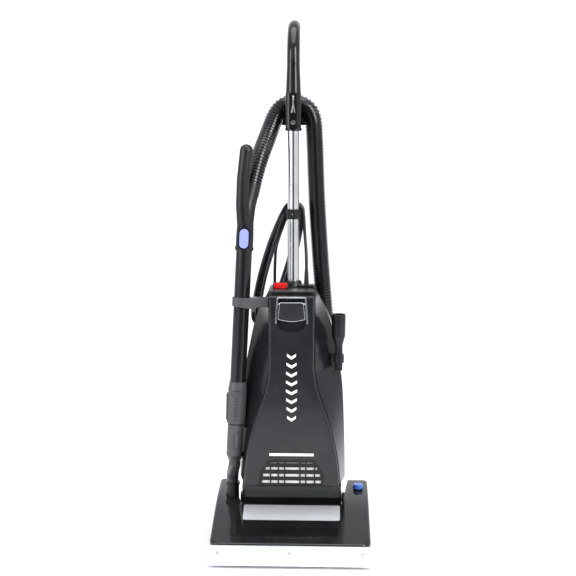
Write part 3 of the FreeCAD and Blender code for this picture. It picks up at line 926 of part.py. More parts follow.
# ======================= hose and cord ======================================
def lean_point(p):
    return V(WAND_X + (p.x - WAND_X) * math.cos(LEAN) + (p.z - WAND_Z) * math.sin(LEAN), p.y,
             WAND_Z + (p.z - WAND_Z) * math.cos(LEAN) - (p.x - WAND_X) * math.sin(LEAN))


def route(points):
    """Straight runs joined by the largest arcs that the shorter run allows."""
    edges, start = [], points[0]
    radii = []
    for before, corner, after in zip(points, points[1:], points[2:]):
        a, b = before - corner, after - corner
        turn = math.pi - a.getAngle(b)
        back = 0.45 * min(a.Length, b.Length)
        radius = back / math.tan(turn / 2)
        radii.append(radius)
        a.normalize()
        b.normalize()
        middle = corner + (a + b).normalize() * (radius / math.cos(turn / 2) - radius)
        edges.append(Part.LineSegment(start, corner + a * back).toShape())
        edges.append(Part.Arc(corner + a * back, middle, corner + b * back).toShape())
        start = corner + b * back
    edges.append(Part.LineSegment(start, points[-1]).toShape())
    return Part.Wire(edges), radii


def flexible(name, points, radius, wall=0.0):
    path, radii = route(points)
    axis = (points[1] - points[0]).normalize()
    solid = pipe(path, radius, points[0], axis)
    area = math.pi * radius ** 2
    print(f"{name}: length {path.Length:.0f}, radii", [round(r) for r in radii],
          f"volume ratio {solid.Volume / (area * path.Length):.4f}")
    if wall:
        solid = solid.cut(pipe(path, radius - wall, points[0], axis))
    keep(name, solid)


swivel_end = lean_point(s0 + neck_axis * SWIVEL_L)
hose_dir = (lean_point(s0 + neck_axis * 60) - lean_point(s0)).normalize()
HOSE_POINTS = [swivel_end, swivel_end + hose_dir * 26, V(-71, 49, 852), V(-55, 77, 896),
               V(-36.2, 97, 948.5), V(-9.5, 97, 964.7), V(21.3, 97, 960.5), V(42.7, 97, 937.8),
               V(46.5, 97.5, 880), V(50, 98, 770), V(58, 99.5, 640), V(68, 102, 510), V(73, 105, 452),
               V(PORT_X, 101, 394), HOSE_END]
flexible("suction_hose", HOSE_POINTS, HOSE_R, 2.5)
NOZZLE_HOSE_R = 13.2
lower_top = V(ELBOW_X, ELBOW_Y, ELBOW_TOP)
flexible("nozzle_hose", [lower_top, lower_top + Z * 15, V(-132, 14, 155), spout_low - Z * 13, spout_low],
         NOZZLE_HOSE_R, 2.0)

coil_lean = math.degrees(math.atan2(COIL_TOP.x - COIL_FOOT.x, COIL_TOP.z - COIL_FOOT.z))
coil_mid = (COIL_TOP + COIL_FOOT) * 0.5
coil_length = COIL_TOP.distanceToPoint(COIL_FOOT)


def oval(end_r, half_width):
    """An oval of four arcs, upright about the coil's middle, in the plane of its front."""
    h = coil_length / 2
    side_r = (half_width ** 2 - end_r ** 2 + h ** 2) / (2 * (half_width - end_r))
    spread = math.asin(h / (side_r - end_r))
    cx = side_r - half_width
    kx = (side_r) * math.cos(spread) - cx
    kz = side_r * math.sin(spread)
    p = [V(kx, 0, kz), V(half_width, 0, 0), V(kx, 0, -kz), V(0, 0, -h - end_r), V(-kx, 0, -kz),
         V(-half_width, 0, 0), V(-kx, 0, kz), V(0, 0, h + end_r)]
    arcs = [Part.Arc(p[0], p[1], p[2]), Part.Arc(p[2], p[3], p[4]), Part.Arc(p[4], p[5], p[6]),
            Part.Arc(p[6], p[7], p[0])]
    return Part.Wire([a.toShape() for a in arcs])


coil = Part.Face(oval(COIL_END_R, COIL_HALF_WIDTH)).extrude(V(0, COIL_DEPTH, 0))
coil = soften(coil, 5, lambda b: b.YLength < 0.1)
coil = coil.cut(Part.Face(oval(COIL_END_R - COIL_THICK, COIL_HALF_WIDTH - COIL_THICK)).extrude(V(0, COIL_DEPTH, 0)))
coil.rotate(V(0, 0, 0), Y, coil_lean)
keep("cord_coil", coil.translated(V(coil_mid.x, COIL_Y, coil_mid.z)))
RELIEF_TOP = HOUSING_TOP + CAP_T + RELIEF_L
flexible("cord_lead", [V(EXIT_X, EXIT_Y, RELIEF_TOP), V(EXIT_X, EXIT_Y, RELIEF_TOP + 18), V(28, 71, 643),
                       V(23, 77, 673), V(14, 81, 702)], CORD_R)
PLUG_TOP = V(-44.5, 134, 541)
flexible("cord_tail", [V(-36, 114, 665), V(-41, 119, 645), V(-43, 127, 618), V(-44.5, 134, 590),
                       PLUG_TOP], CORD_R)
plug = box(-13, 13, -9, 9, -41, -13)
plug = soften(plug, 4, lambda b: b.ZLength > 20)
plug = plug.fuse(cone(9, 5, (0, 0, -14), Z, 14)).translated(PLUG_TOP)
prongs = [box(x - 0.75, x + 0.75, -3.2, 3.2, -58, -41) for x in (-6.3, 6.3)] + [
    rod(2.4, (0, 6.2, -60), Z, 19)]
keep("power_plug", Part.makeCompound([plug] + [p.translated(PLUG_TOP) for p in prongs]))

# ---- housing screws ----------------------------------------------------------
screws = [slotted_screw(4.2, 1.8, 1.9, 8, (x, HOUSING_REAR_Y + 0.02, z), Y) for x, z in SCREW_SPOTS]
keep("upright_screws", Part.makeCompound(screws + [handle_screw]))
print(len(made), "nodes")
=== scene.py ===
# %% [markdown]
# # An upright vacuum cleaner, finished in Blender
# The shapes that carry load come from the CAD frame. This lesson adds what a
# CAD solid leaves plain: ribbed hoses, the wound cord, trims, tufts and the
# finish of each surface. We load the frame first, because every new piece has
# to stay inside its box.

# %% Load the frame
import json
import math
import bpy
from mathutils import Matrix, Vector

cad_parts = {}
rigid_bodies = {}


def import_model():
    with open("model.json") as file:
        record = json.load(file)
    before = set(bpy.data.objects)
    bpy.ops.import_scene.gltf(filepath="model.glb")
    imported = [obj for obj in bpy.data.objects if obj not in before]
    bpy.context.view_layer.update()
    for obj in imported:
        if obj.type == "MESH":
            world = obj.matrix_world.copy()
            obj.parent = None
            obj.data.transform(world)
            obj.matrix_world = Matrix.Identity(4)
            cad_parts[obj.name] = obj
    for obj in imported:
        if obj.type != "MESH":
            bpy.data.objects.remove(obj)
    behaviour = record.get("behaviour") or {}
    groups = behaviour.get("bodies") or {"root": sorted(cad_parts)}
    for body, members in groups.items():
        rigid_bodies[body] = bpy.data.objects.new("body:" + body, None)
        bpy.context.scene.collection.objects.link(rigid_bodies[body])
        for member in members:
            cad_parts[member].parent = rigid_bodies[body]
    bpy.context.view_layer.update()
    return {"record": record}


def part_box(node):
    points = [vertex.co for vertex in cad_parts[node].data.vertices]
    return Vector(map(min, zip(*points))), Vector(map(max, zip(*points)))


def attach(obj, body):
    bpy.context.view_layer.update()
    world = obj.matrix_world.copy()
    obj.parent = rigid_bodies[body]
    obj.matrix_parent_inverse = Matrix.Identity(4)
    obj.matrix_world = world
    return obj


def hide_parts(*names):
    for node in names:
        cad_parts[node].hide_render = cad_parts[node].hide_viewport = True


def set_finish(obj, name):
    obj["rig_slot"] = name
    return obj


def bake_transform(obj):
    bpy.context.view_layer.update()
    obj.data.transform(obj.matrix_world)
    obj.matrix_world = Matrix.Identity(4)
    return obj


bpy.ops.object.select_all(action="SELECT")
bpy.ops.object.delete()
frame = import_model()

# %% [markdown]
# The camera comes first, so that every later choice can be judged from where
# the machine is seen. A long lens from a little above hub height keeps the
# handle upright and shows the top of the nozzle.

# %% Camera
CAMERA_PLACE = (0.0835, -2.5753, 0.939)
CAMERA_TILT = math.radians(90 - 8.24)
CAMERA_TURN = math.radians(2.07)
lens_data = bpy.data.cameras.new("studio_camera")
lens_data.lens = 75
camera = bpy.data.objects.new("studio_camera", lens_data)
camera.location = CAMERA_PLACE
camera.rotation_euler = (CAMERA_TILT, 0, CAMERA_TURN)
bpy.context.scene.collection.objects.link(camera)
bpy.context.scene.camera = camera
print("lens", lens_data.lens, "mm")

# %% [markdown]
# Two small helpers follow a flexible line. A NURBS spline takes given points
# and runs smoothly near them. Reading its points back gives the line
# that a tube mesh or a strain relief can follow.


# %% Flexible lines
def nurbs_curve(name, points):
    """A smooth open curve that runs near the given points."""
    curve = bpy.data.curves.new(name, "CURVE")
    curve.dimensions = "3D"
    curve.resolution_u = 12
    spline = curve.splines.new("NURBS")
    spline.points.add(len(points) - 1)
    for point, place in zip(spline.points, points):
        point.co = (*place, 1)
    spline.order_u = 3
    spline.use_endpoint_u = True
    return curve


def line_of(curve):
    """The points of a curve's own line, read while it has no thickness."""
    holder = bpy.data.objects.new("line", curve)
    bpy.context.scene.collection.objects.link(holder)
    mesh = bpy.data.meshes.new_from_object(holder)
    points = [v.co.copy() for v in mesh.vertices]
    bpy.data.objects.remove(holder)
    return points


def line_length(points):
    return sum((b - a).length for a, b in zip(points, points[1:]))


# %% [markdown]
# ## The power cord
# The cord leaves the machine through a strain relief, rises to the coil, and
# hangs on two hooks in a long oval. It is one spline: a lead, the turns made
# by a loop, and a tail to the plug. Each turn lies one diameter from the last.
# A step to the next row takes a fifth of a turn, and the steps come earlier in
# each layer so that no two turns meet.

# %% Cord sizes
CORD_RADIUS = 0.0035
PITCH = 0.00705
LAYER = 0.0072
COIL_TOP = Vector((-0.001, 0, 0.722))
COIL_FOOT = Vector((-0.070, 0, 0.492))
COIL_END, COIL_HALF = 0.027, 0.038
FIRST_ROW = 0.0800
coil_run = COIL_TOP - COIL_FOOT
half_run = coil_run.length / 2
coil_up = coil_run.normalized()
coil_side = Vector((coil_up.z, 0, -coil_up.x))
coil_middle = (COIL_TOP + COIL_FOOT) / 2
side_radius = (COIL_HALF ** 2 - COIL_END ** 2 + half_run ** 2) / (2 * (COIL_HALF - COIL_END))
side_spread = math.asin(half_run / (side_radius - COIL_END))
print("coil side arc radius", round(side_radius, 3))


# %% One point of a turn
def oval_point(turn, inset):
    """A point on the oval; whole turns end at the right side's foot."""
    part = turn % 1
    upper = part < 0.5
    part = part if upper else part - 0.5
    if part < 0.4:
        angle = side_spread * (part / 0.2 - 1)
        reach = side_radius - inset
        across = reach * math.cos(angle) - (side_radius - COIL_HALF)
        along = reach * math.sin(angle)
    else:
        angle = side_spread + (math.pi - 2 * side_spread) * (part - 0.4) / 0.1
        across = (COIL_END - inset) * math.cos(angle)
        along = half_run + (COIL_END - inset) * math.sin(angle)
    if not upper:
        across, along = -across, -along
    return coil_middle + coil_side * across + coil_up * along


def stepped(value, moment):
    """0 before a moment of the winding, 1 after it, eased over a fifth of a turn."""
    t = min(max((value - moment) / 0.2 + 0.5, 0), 1)
    return t * t * (3 - 2 * t)


# %% The whole cord
ROWS_OUT = (1, 2, 3, 4, 5)
ROWS_BACK = (6.5, 7.5, 8.5, 9.5, 10.5)
ROWS_LAST = (12, 13, 14, 15, 16)
LAYERS_IN = (5.75, 11.25)
START_PART, COIL_TURNS = 0.37, 16.24
TURN_PARTS = (0.04, 0.14, 0.26, 0.36, 0.41, 0.43, 0.45, 0.47, 0.49)
lead = [(0.029, 0.066, 0.597), (0.029, 0.066, 0.615), (0.028, 0.071, 0.643), (0.025, 0.077, 0.673)]
tail = [(-0.041, 0.119, 0.645), (-0.043, 0.127, 0.618), (-0.0445, 0.134, 0.590),
        (-0.0445, 0.134, 0.557), (-0.0445, 0.134, 0.541)]
turns = []
for half_turn in range(36):
    for part in TURN_PARTS:
        place = half_turn / 2 + part
        wound = place - START_PART
        if 0 <= wound <= COIL_TURNS:
            row = sum(stepped(wound, m) for m in ROWS_OUT) - sum(stepped(wound, m) for m in ROWS_BACK)
            row += sum(stepped(wound, m) for m in ROWS_LAST)
            layer = sum(stepped(wound, m) for m in LAYERS_IN)
            point = oval_point(place, CORD_RADIUS + LAYER * layer)
            point.y = FIRST_ROW + PITCH * row
            turns.append(tuple(point))
cord_curve = nurbs_curve("power_cord", lead + turns + tail)
cord_curve.resolution_u = 4
cord_metres = line_length(line_of(cord_curve))
cord_curve.bevel_depth = CORD_RADIUS
cord_curve.bevel_resolution = 3
power_cord = bpy.data.objects.new("power_cord", cord_curve)
bpy.context.scene.collection.objects.link(power_cord)
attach(power_cord, "upright")
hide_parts("cord_coil", "cord_lead", "cord_tail")
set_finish(power_cord, "cord_vinyl")
print("cord points", len(turns), "metres", round(cord_metres, 3))

# %% [markdown]
# ## The ribbed hoses
# A vacuum hose is a soft wall wound with a stiff rib. A smooth tube would lose
# the saw-tooth edge that tells the eye what it is. We follow the line with
# rings whose radius rises and falls once for each rib, so the teeth are real
# geometry and catch the light on every side.


# %% A ribbed tube along a line
def ribbed_tube(name, points, crest, valley, rib, sides=28, plain=0.0):
    """A tube mesh whose radius goes from valley to crest once for each rib."""
    total = line_length(points)
    walked = [0.0]
    for a, b in zip(points, points[1:]):
        walked.append(walked[-1] + (b - a).length)
    count = round((total - 2 * plain) / rib)
    stops = [(0.0, crest)]
    for k in range(count):
        start = plain + (total - 2 * plain) * k / count
        step = (total - 2 * plain) / count
        stops += [(start + step * 0.08, valley), (start + step * 0.38, valley),
                  (start + step * 0.62, crest), (start + step * 0.86, crest)]
    stops.append((total, crest))
    verts, faces = [], []
    up = Vector((0, 1, 0))
    segment = 0
    for distance, radius in stops:
        while segment < len(walked) - 2 and walked[segment + 1] < distance:
            segment += 1
        share = (distance - walked[segment]) / (walked[segment + 1] - walked[segment])
        middle = points[segment].lerp(points[segment + 1], min(max(share, 0), 1))
        ahead = (points[min(segment + 2, len(points) - 1)] - points[max(segment - 1, 0)]).normalized()
        side = ahead.cross(up).normalized()
        up = side.cross(ahead).normalized()
        for k in range(sides):
            turn = 2 * math.pi * k / sides
            verts.append(middle + side * radius * math.cos(turn) + up * radius * math.sin(turn))
    for ring in range(len(stops) - 1):
        for k in range(sides):
            a, b = ring * sides + k, ring * sides + (k + 1) % sides
            faces.append((a, b, b + sides, a + sides))
    faces.append(tuple(reversed(range(sides))))
    faces.append(tuple(range(len(verts) - sides, len(verts))))
    mesh = bpy.data.meshes.new(name)
    mesh.from_pydata(verts, [], faces)
    piece = bpy.data.objects.new(name, mesh)
    bpy.context.scene.collection.objects.link(piece)
    bpy.ops.object.select_all(action="DESELECT")
    bpy.context.view_layer.objects.active = piece
    piece.select_set(True)
    bpy.ops.object.mode_set(mode="EDIT")
    bpy.ops.mesh.select_all(action="SELECT")
    bpy.ops.mesh.normals_make_consistent(inside=False)
    bpy.ops.object.mode_set(mode="OBJECT")
    bpy.ops.object.shade_smooth_by_angle(angle=math.radians(35))
    return piece


# %% Suction hose over the hook
HOSE_ROUTE = [(-0.0878, 0.0227, 0.7879), (-0.0826, 0.0318, 0.8117), (-0.071, 0.049, 0.852),
              (-0.055, 0.077, 0.896), (-0.0362, 0.097, 0.9485), (-0.0095, 0.097, 0.9647),
              (0.0213, 0.097, 0.9605), (0.0427, 0.097, 0.9378), (0.0465, 0.0975, 0.880),
              (0.050, 0.098, 0.770), (0.058, 0.0995, 0.640), (0.068, 0.102, 0.510),
              (0.073, 0.105, 0.452), (0.058, 0.101, 0.394), (0.058, 0.101, 0.346)]
hose_line = line_of(nurbs_curve("suction_hose_line", HOSE_ROUTE))
hose_metres = line_length(hose_line)
suction_hose = ribbed_tube("ribbed_hose", hose_line, 0.0200, 0.0178, 0.0070)
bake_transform(suction_hose)
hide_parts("suction_hose")
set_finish(suction_hose, "hose_rib")
print("hose metres", round(hose_metres, 3))

# %% Lower hose between the socket and the nozzle
spout_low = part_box("nozzle_hose")[1].z
elbow_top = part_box("nozzle_hose")[0].z
LOWER_ROUTE = [(-0.135, 0.026, elbow_top), (-0.135, 0.026, elbow_top + 0.015), (-0.132, 0.014, 0.155),
               (-0.1283, 0.002, spout_low - 0.013), (-0.1283, 0.002, spout_low)]
lower_line = line_of(nurbs_curve("lower_hose_line", LOWER_ROUTE))
lower_hose = ribbed_tube("lower_ribbed_hose", lower_line, 0.0132, 0.0116, 0.0052)
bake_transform(lower_hose)
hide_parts("nozzle_hose")
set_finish(lower_hose, "hose_grey")
print("lower hose metres", round(line_length(lower_line), 3))


# %% [markdown]
# ## Modelling by hand, in code
# The rest of the new pieces start as a primitive at its size and place. Edit
# mode then shapes them. An operator works on all that is selected, so a helper
# first clears the selection and picks faces or edges by where they lie.


# %% Helpers for hand modelling
def start_piece(name):
    """Name the primitive just added and put its place into its mesh."""
    piece = bpy.context.active_object
    piece.name = name
    piece.data.name = name
    bpy.ops.object.transform_apply(location=True, rotation=True, scale=True)
    return piece


def block(name, low, high):
    """A cuboid between two corners, ready to be shaped."""
    bpy.ops.object.select_all(action="DESELECT")
    middle = [(a + b) / 2 for a, b in zip(low, high)]
    bpy.ops.mesh.primitive_cube_add(size=1, location=middle)
    bpy.context.active_object.scale = [b - a for a, b in zip(low, high)]
    return start_piece(name)


def disc(name, radius, depth, place, axis, sides=48):
    """A short cylinder whose axis runs along the given direction."""
    bpy.ops.object.select_all(action="DESELECT")
    turn = Vector(axis).to_track_quat("Z", "Y").to_euler()
    bpy.ops.mesh.primitive_cylinder_add(vertices=sides, radius=radius, depth=depth, location=place,
                                        rotation=turn)
    return start_piece(name)


def pick(piece, kind, test):
    """In edit mode, select the faces or edges whose middle passes a test."""
    bpy.ops.object.select_all(action="DESELECT")
    bpy.context.view_layer.objects.active = piece
    piece.select_set(True)
    bpy.ops.object.mode_set(mode="EDIT")
    bpy.ops.mesh.select_mode(type=kind)
    bpy.ops.mesh.select_all(action="DESELECT")
    bpy.ops.object.mode_set(mode="OBJECT")
    mesh = piece.data
    if kind == "FACE":
        for face in mesh.polygons:
            face.select = test(face.center, face.normal)
    else:
        for edge in mesh.edges:
            a, b = (mesh.vertices[i].co for i in edge.vertices)
            edge.select = test((a + b) / 2, (b - a).normalized())
    bpy.ops.object.mode_set(mode="EDIT")


def done(piece, angle=30):
    """Leave edit mode and smooth the shallow edges."""
    bpy.ops.object.mode_set(mode="OBJECT")
    bpy.ops.object.select_all(action="DESELECT")
    bpy.context.view_layer.objects.active = piece
    piece.select_set(True)
    bpy.ops.object.shade_smooth_by_angle(angle=math.radians(angle))
    return piece


def round_edges(piece, width, segments=3, angle=40):
    """A bevel on the sharp edges, applied."""
    bpy.context.view_layer.objects.active = piece
    rounding = piece.modifiers.new("rounding", "BEVEL")
    rounding.width = width
    rounding.segments = segments
    rounding.limit_method = "ANGLE"
    rounding.angle_limit = math.radians(angle)
    bpy.ops.object.modifier_apply(modifier=rounding.name)
    return piece


def twin(piece, name, shift):
    """A copy with its own mesh, moved in the mesh."""
    copy = piece.copy()
    copy.data = piece.data.copy()
    copy.name = name
    bpy.context.scene.collection.objects.link(copy)
    for vertex in copy.data.vertices:
        vertex.co += Vector(shift)
    return copy


def join(pieces, name):
    """Several shapes made one piece."""
    bpy.ops.object.select_all(action="DESELECT")
    for piece in pieces:
        piece.select_set(True)
    bpy.context.view_layer.objects.active = pieces[0]
    bpy.ops.object.join()
    pieces[0].name = name
    return pieces[0]


print("helpers ready")

# %% [markdown]
# ## Strain relief
# Where the cord leaves the cap, a ribbed rubber sleeve spreads the bend. It is
# a tapered tube with rings cut into it. Here one cylinder is divided, and every
# second band is drawn in, which is quicker than making separate rings.

# %% Strain relief
relief_low, relief_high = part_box("strain_relief")
relief_middle = (relief_low + relief_high) / 2
RELIEF_BANDS = 11
relief = disc("cord_sleeve", 0.0066, relief_high.z - relief_low.z, relief_middle, (0, 0, 1), 32)
bpy.ops.object.mode_set(mode="EDIT")
bpy.ops.mesh.select_all(action="SELECT")
for k in range(1, 2 * RELIEF_BANDS):
    height = relief_low.z + (relief_high.z - relief_low.z) * k / (2 * RELIEF_BANDS)
    bpy.ops.mesh.select_all(action="SELECT")
    bpy.ops.mesh.bisect(plane_co=(0, 0, height), plane_no=(0, 0, 1))
bpy.ops.object.mode_set(mode="OBJECT")
for vertex in relief.data.vertices:
    share = (vertex.co.z - relief_low.z) / (relief_high.z - relief_low.z)
    band = round(share * 2 * RELIEF_BANDS)
    groove = 0.80 if band % 2 and share > 0.2 else 1.0
    size = (1 - 0.30 * share) * groove
    vertex.co.x = relief_middle.x + (vertex.co.x - relief_middle.x) * size
    vertex.co.y = relief_middle.y + (vertex.co.y - relief_middle.y) * size
done(relief, 25)
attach(relief, "upright")
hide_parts("strain_relief")
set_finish(relief, "rubber_black")
print("strain relief bands", RELIEF_BANDS)

# %% [markdown]
# ## Door trim
# The door carries plain bright shapes: a column of chevrons, a bar over the
# grille and a pale frame round the latch. They are thin raised mouldings, so
# each is a block that is stretched, beveled and laid 0.4 mm into the door.

# %% Door trim
door_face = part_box("door_shell")[0].y
TRIM_PROUD = 0.0006
TRIM_SUNK = 0.0006


def chevron(name, z, half, arm, drop):
    """A broad arrowhead that points down, from a block with its middle pulled."""
    piece = block(name, (-half, door_face - TRIM_PROUD, z - arm), (half, door_face + TRIM_SUNK, z))
    pick(piece, "EDGE", lambda c, d: abs(d.x) > 0.9)
    bpy.ops.mesh.subdivide(number_cuts=1)
    done(piece)
    for vertex in piece.data.vertices:
        if abs(vertex.co.x) < half * 0.1:
            vertex.co.z -= drop
    return round_edges(piece, 0.0004, 2)


CHEVRONS = 8
column_high, column_low = 0.432, 0.296
marks = []
for k in range(CHEVRONS):
    z = column_high + (column_low - column_high) * k / (CHEVRONS - 1)
    wide = 0.0095 + 0.0025 * math.sin(math.pi * k / (CHEVRONS - 1))
    marks.append(chevron("mark", z, wide, 0.0062, 0.0065))
door_marks = join(marks, "door_marks")
bar_low, bar_high = (-0.048, door_face - TRIM_PROUD, 0.2065), (0.048, door_face + TRIM_SUNK, 0.2125)
door_bar = round_edges(block("door_bar", bar_low, bar_high), 0.0005, 2)
for piece in (door_marks, door_bar):
    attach(piece, "bag_door")
    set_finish(piece, "filter_white")
print("door marks", CHEVRONS, "door face at", round(door_face, 4))

# %% Frame round the latch bay
latch_low, latch_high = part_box("door_latch")
frame_outer, frame_inner = 0.0335, 0.0305
rails = []
for side in (-1, 1):
    rail = block("rail", (side * frame_outer - 0.0016, door_face - 0.0010, latch_low.z - 0.004),
                 (side * frame_outer + 0.0016, door_face + 0.0015, latch_high.z + 0.009))
    for vertex in rail.data.vertices:
        if vertex.co.z > latch_high.z:
            vertex.co.x -= side * 0.0035
    rails.append(round_edges(rail, 0.0007))
rails.append(round_edges(block("rail", (-0.0300, door_face - 0.0010, latch_high.z + 0.0085),
                               (0.0300, door_face + 0.0015, latch_high.z + 0.0117)), 0.0007))
latch_frame = join(rails, "latch_frame")
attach(latch_frame, "bag_door")
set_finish(latch_frame, "chrome_latch")
print("latch frame", [round(v, 3) for v in latch_frame.dimensions])

# %% [markdown]
# ## Handle rib highlight
# The collar under the grip has a raised, pin-shaped rib. A bright metal face is
# set on it as a painted highlight, standing in for the gloss that the rib
# catches. It is a thin block cut across several times, then narrowed at the
# neck, which gives its outline from five widths.

# %% Handle rib painted highlight
collar_low, collar_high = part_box("handle_collar")
HIGHLIGHT_WIDTHS = ((0.979, 0.0014), (0.968, 0.0015), (0.957, 0.0017), (0.949, 0.0034), (0.9415, 0.0048))
highlight_face = 0.060 - 0.017 - 0.0022
# A bright metal face on the rib: a painted highlight for the gloss that the rib catches.
painted_highlight = block("handle_inlay", (-1, highlight_face - 0.0006, HIGHLIGHT_WIDTHS[-1][0]),
              (1, highlight_face + 0.0006, HIGHLIGHT_WIDTHS[0][0]))
bpy.ops.object.mode_set(mode="EDIT")
for height, _ in HIGHLIGHT_WIDTHS[1:-1]:
    bpy.ops.mesh.select_all(action="SELECT")
    bpy.ops.mesh.bisect(plane_co=(0, 0, height), plane_no=(0, 0, 1))
bpy.ops.object.mode_set(mode="OBJECT")
for vertex in painted_highlight.data.vertices:
    _, half = min(HIGHLIGHT_WIDTHS, key=lambda w: abs(w[0] - vertex.co.z))
    vertex.co.x *= half
done(round_edges(painted_highlight, 0.0003, 2))
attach(painted_highlight, "upright")
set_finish(painted_highlight, "tube_bright")
print("inlay height", round(painted_highlight.dimensions.z, 3))

# %% [markdown]
# ## Brush tufts
# The roll carries two rows of nylon tufts. One tuft is a slim cone with a few
# faces, because it is repeated over a hundred times. It is copied along both
# rows and the copies are joined into one piece.

# %% Brush tufts
roll_low, roll_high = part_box("brush_core")
roll_middle = (roll_low + roll_high) / 2
tuft_low, tuft_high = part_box("brush_bristles")
TUFT_STEP = 0.0056
tufts = []
belt_gap = (0.116, 0.136)
for side in (-1, 1):
    root = roll_middle.y + side * 0.0155
    tip = roll_middle.y + side * 0.0233
    bpy.ops.object.select_all(action="DESELECT")
    bpy.ops.mesh.primitive_cone_add(vertices=7, radius1=0.0017, radius2=0.0024, depth=abs(tip - root),
                                    location=(tuft_low.x + 0.003, (root + tip) / 2, roll_middle.z),
                                    rotation=(-side * math.pi / 2, 0, 0))
    first = start_piece("tuft")
    tufts.append(first)
    count = int((tuft_high.x - tuft_low.x - 0.006) / TUFT_STEP)
    for k in range(1, count + 1):
        x = first.data.vertices[0].co.x + k * TUFT_STEP
        if not belt_gap[0] - 0.003 < x < belt_gap[1] + 0.003:
            tufts.append(twin(first, "tuft", (k * TUFT_STEP, 0, 0)))
brush_tufts = join(tufts, "brush_tufts")
done(brush_tufts)
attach(brush_tufts, "brush_roll")
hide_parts("brush_bristles")
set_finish(brush_tufts, "bristle")
print("tufts", len(tufts))

# %% [markdown]
# ## Filter bag
# The bag hangs inside the housing and shows when the door swings open. Paper
# cloth bulges between its seams. A divided block is pushed out at its middle
# and drawn in at its edges, then smoothed by subdivision.

# %% Filter bag
bag_low, bag_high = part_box("filter_bag")
bag = block("paper_bag", (bag_low.x + 0.004, 0.016, bag_low.z + 0.002),
            (bag_high.x - 0.004, 0.044, bag_high.z - 0.002))
bpy.ops.object.mode_set(mode="EDIT")
bpy.ops.mesh.select_all(action="SELECT")
bpy.ops.mesh.subdivide(number_cuts=9)
bpy.ops.object.mode_set(mode="OBJECT")
bag_middle = (bag_low + bag_high) / 2
for vertex in bag.data.vertices:
    up = (vertex.co.z - bag_low.z) / (bag_high.z - bag_low.z)
    narrow = 1 - 0.22 * up
    vertex.co.x *= narrow
    across = vertex.co.x / (bag_high.x * narrow)
    swell = (1 - across ** 4) * (1 - (2 * up - 1) ** 6)
    pleat = 0.0012 * math.cos(across * 22)
    vertex.co.y = 0.030 + (vertex.co.y - 0.030) * (0.35 + 0.62 * swell) + pleat * swell
softening = bag.modifiers.new("softening", "SUBSURF")
softening.levels = softening.render_levels = 1
bpy.context.view_layer.objects.active = bag
bpy.ops.object.modifier_apply(modifier=softening.name)
done(bag, 60)
bag_plate = block("bag_plate", (0.026, 0.0712, 0.264), (0.086, 0.0728, 0.328))
round_edges(bag_plate, 0.0005, 2)
collar_ring = disc("bag_neck", 0.0225, 0.028, (0.058, 0.057, 0.296), (0, 1, 0))
pick(collar_ring, "FACE", lambda c, n: abs(n.y) > 0.9)
bpy.ops.mesh.inset(thickness=0.0028)
bpy.ops.mesh.delete(type="FACE")
done(collar_ring)
bag_whole = join([bag, bag_plate, collar_ring], "filter_bag_soft")
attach(bag_whole, "upright")
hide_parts("filter_bag")
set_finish(bag_whole, "bag_paper")
print("bag", [round(v, 3) for v in bag_whole.dimensions])

# %% [markdown]
# ## Finishes
# Every finish starts from one principled shader. Its fine detail comes from
# noise on Object coordinates, whose unit is the metre, so a scale of 900 makes
# grains of about a millimetre. One helper builds the parts that all finishes
# share, and each finish adds what is its own.


# %% A finish's shared parts
def new_finish(name, colour, rough, metal=0.0):
    """A principled material with fixed values set on the shader itself."""
    material = bpy.data.materials.new(name)
    material.use_nodes = True
    material.diffuse_color = (*colour, 1)
    shader = material.node_tree.nodes["Principled BSDF"]
    shader.inputs["Base Color"].default_value = (*colour, 1)
    shader.inputs["Roughness"].default_value = rough
    shader.inputs["Metallic"].default_value = metal
    return material, shader


def node_of(material, kind, **sockets):
    """A node of that kind, with its input sockets set by name."""
    node = material.node_tree.nodes.new("ShaderNode" + kind)
    for socket, value in sockets.items():
        node.inputs[socket.replace("_", " ")].default_value = value
    return node


def link(material, output, socket):
    material.node_tree.links.new(output, socket)


def object_place(material, stretch=(1, 1, 1)):
    """Object coordinates, stretched along each axis."""
    coordinates = node_of(material, "TexCoord")
    mapping = node_of(material, "Mapping", Scale=stretch)
    link(material, coordinates.outputs["Object"], mapping.inputs["Vector"])
    return mapping.outputs["Vector"]


def noise_on(material, place, scale, detail=3.0):
    noise = node_of(material, "TexNoise", Scale=scale, Detail=detail)
    link(material, place, noise.inputs["Vector"])
    return noise.outputs["Fac"]


def ranged(material, factor, low, high, start=0.3, end=0.7):
    """A factor moved from start..end to low..high."""
    node = node_of(material, "MapRange", From_Min=start, From_Max=end, To_Min=low, To_Max=high)
    link(material, factor, node.inputs["Value"])
    return node.outputs["Result"]


def mixed(material, factor, first, second):
    """Two colours mixed by a factor."""
    node = node_of(material, "Mix")
    node.data_type = "RGBA"
    link(material, factor, node.inputs[0])
    node.inputs[6].default_value = (*first, 1)
    node.inputs[7].default_value = (*second, 1)
    return node.outputs[2]


def bumped(material, shader, height, strength, distance=0.0004):
    node = node_of(material, "Bump", Strength=strength, Distance=distance)
    link(material, height, node.inputs["Height"])
    link(material, node.outputs["Normal"], shader.inputs["Normal"])


print("finish helpers ready")

# %% [markdown]
# Moulded plastic isn't one colour or one gloss. The tool's texture gives a
# fine grain, handling gives the gloss slow changes, and dust settles as a
# slightly paler film. The same recipe serves the glossy and the satin shells,
# with other numbers.


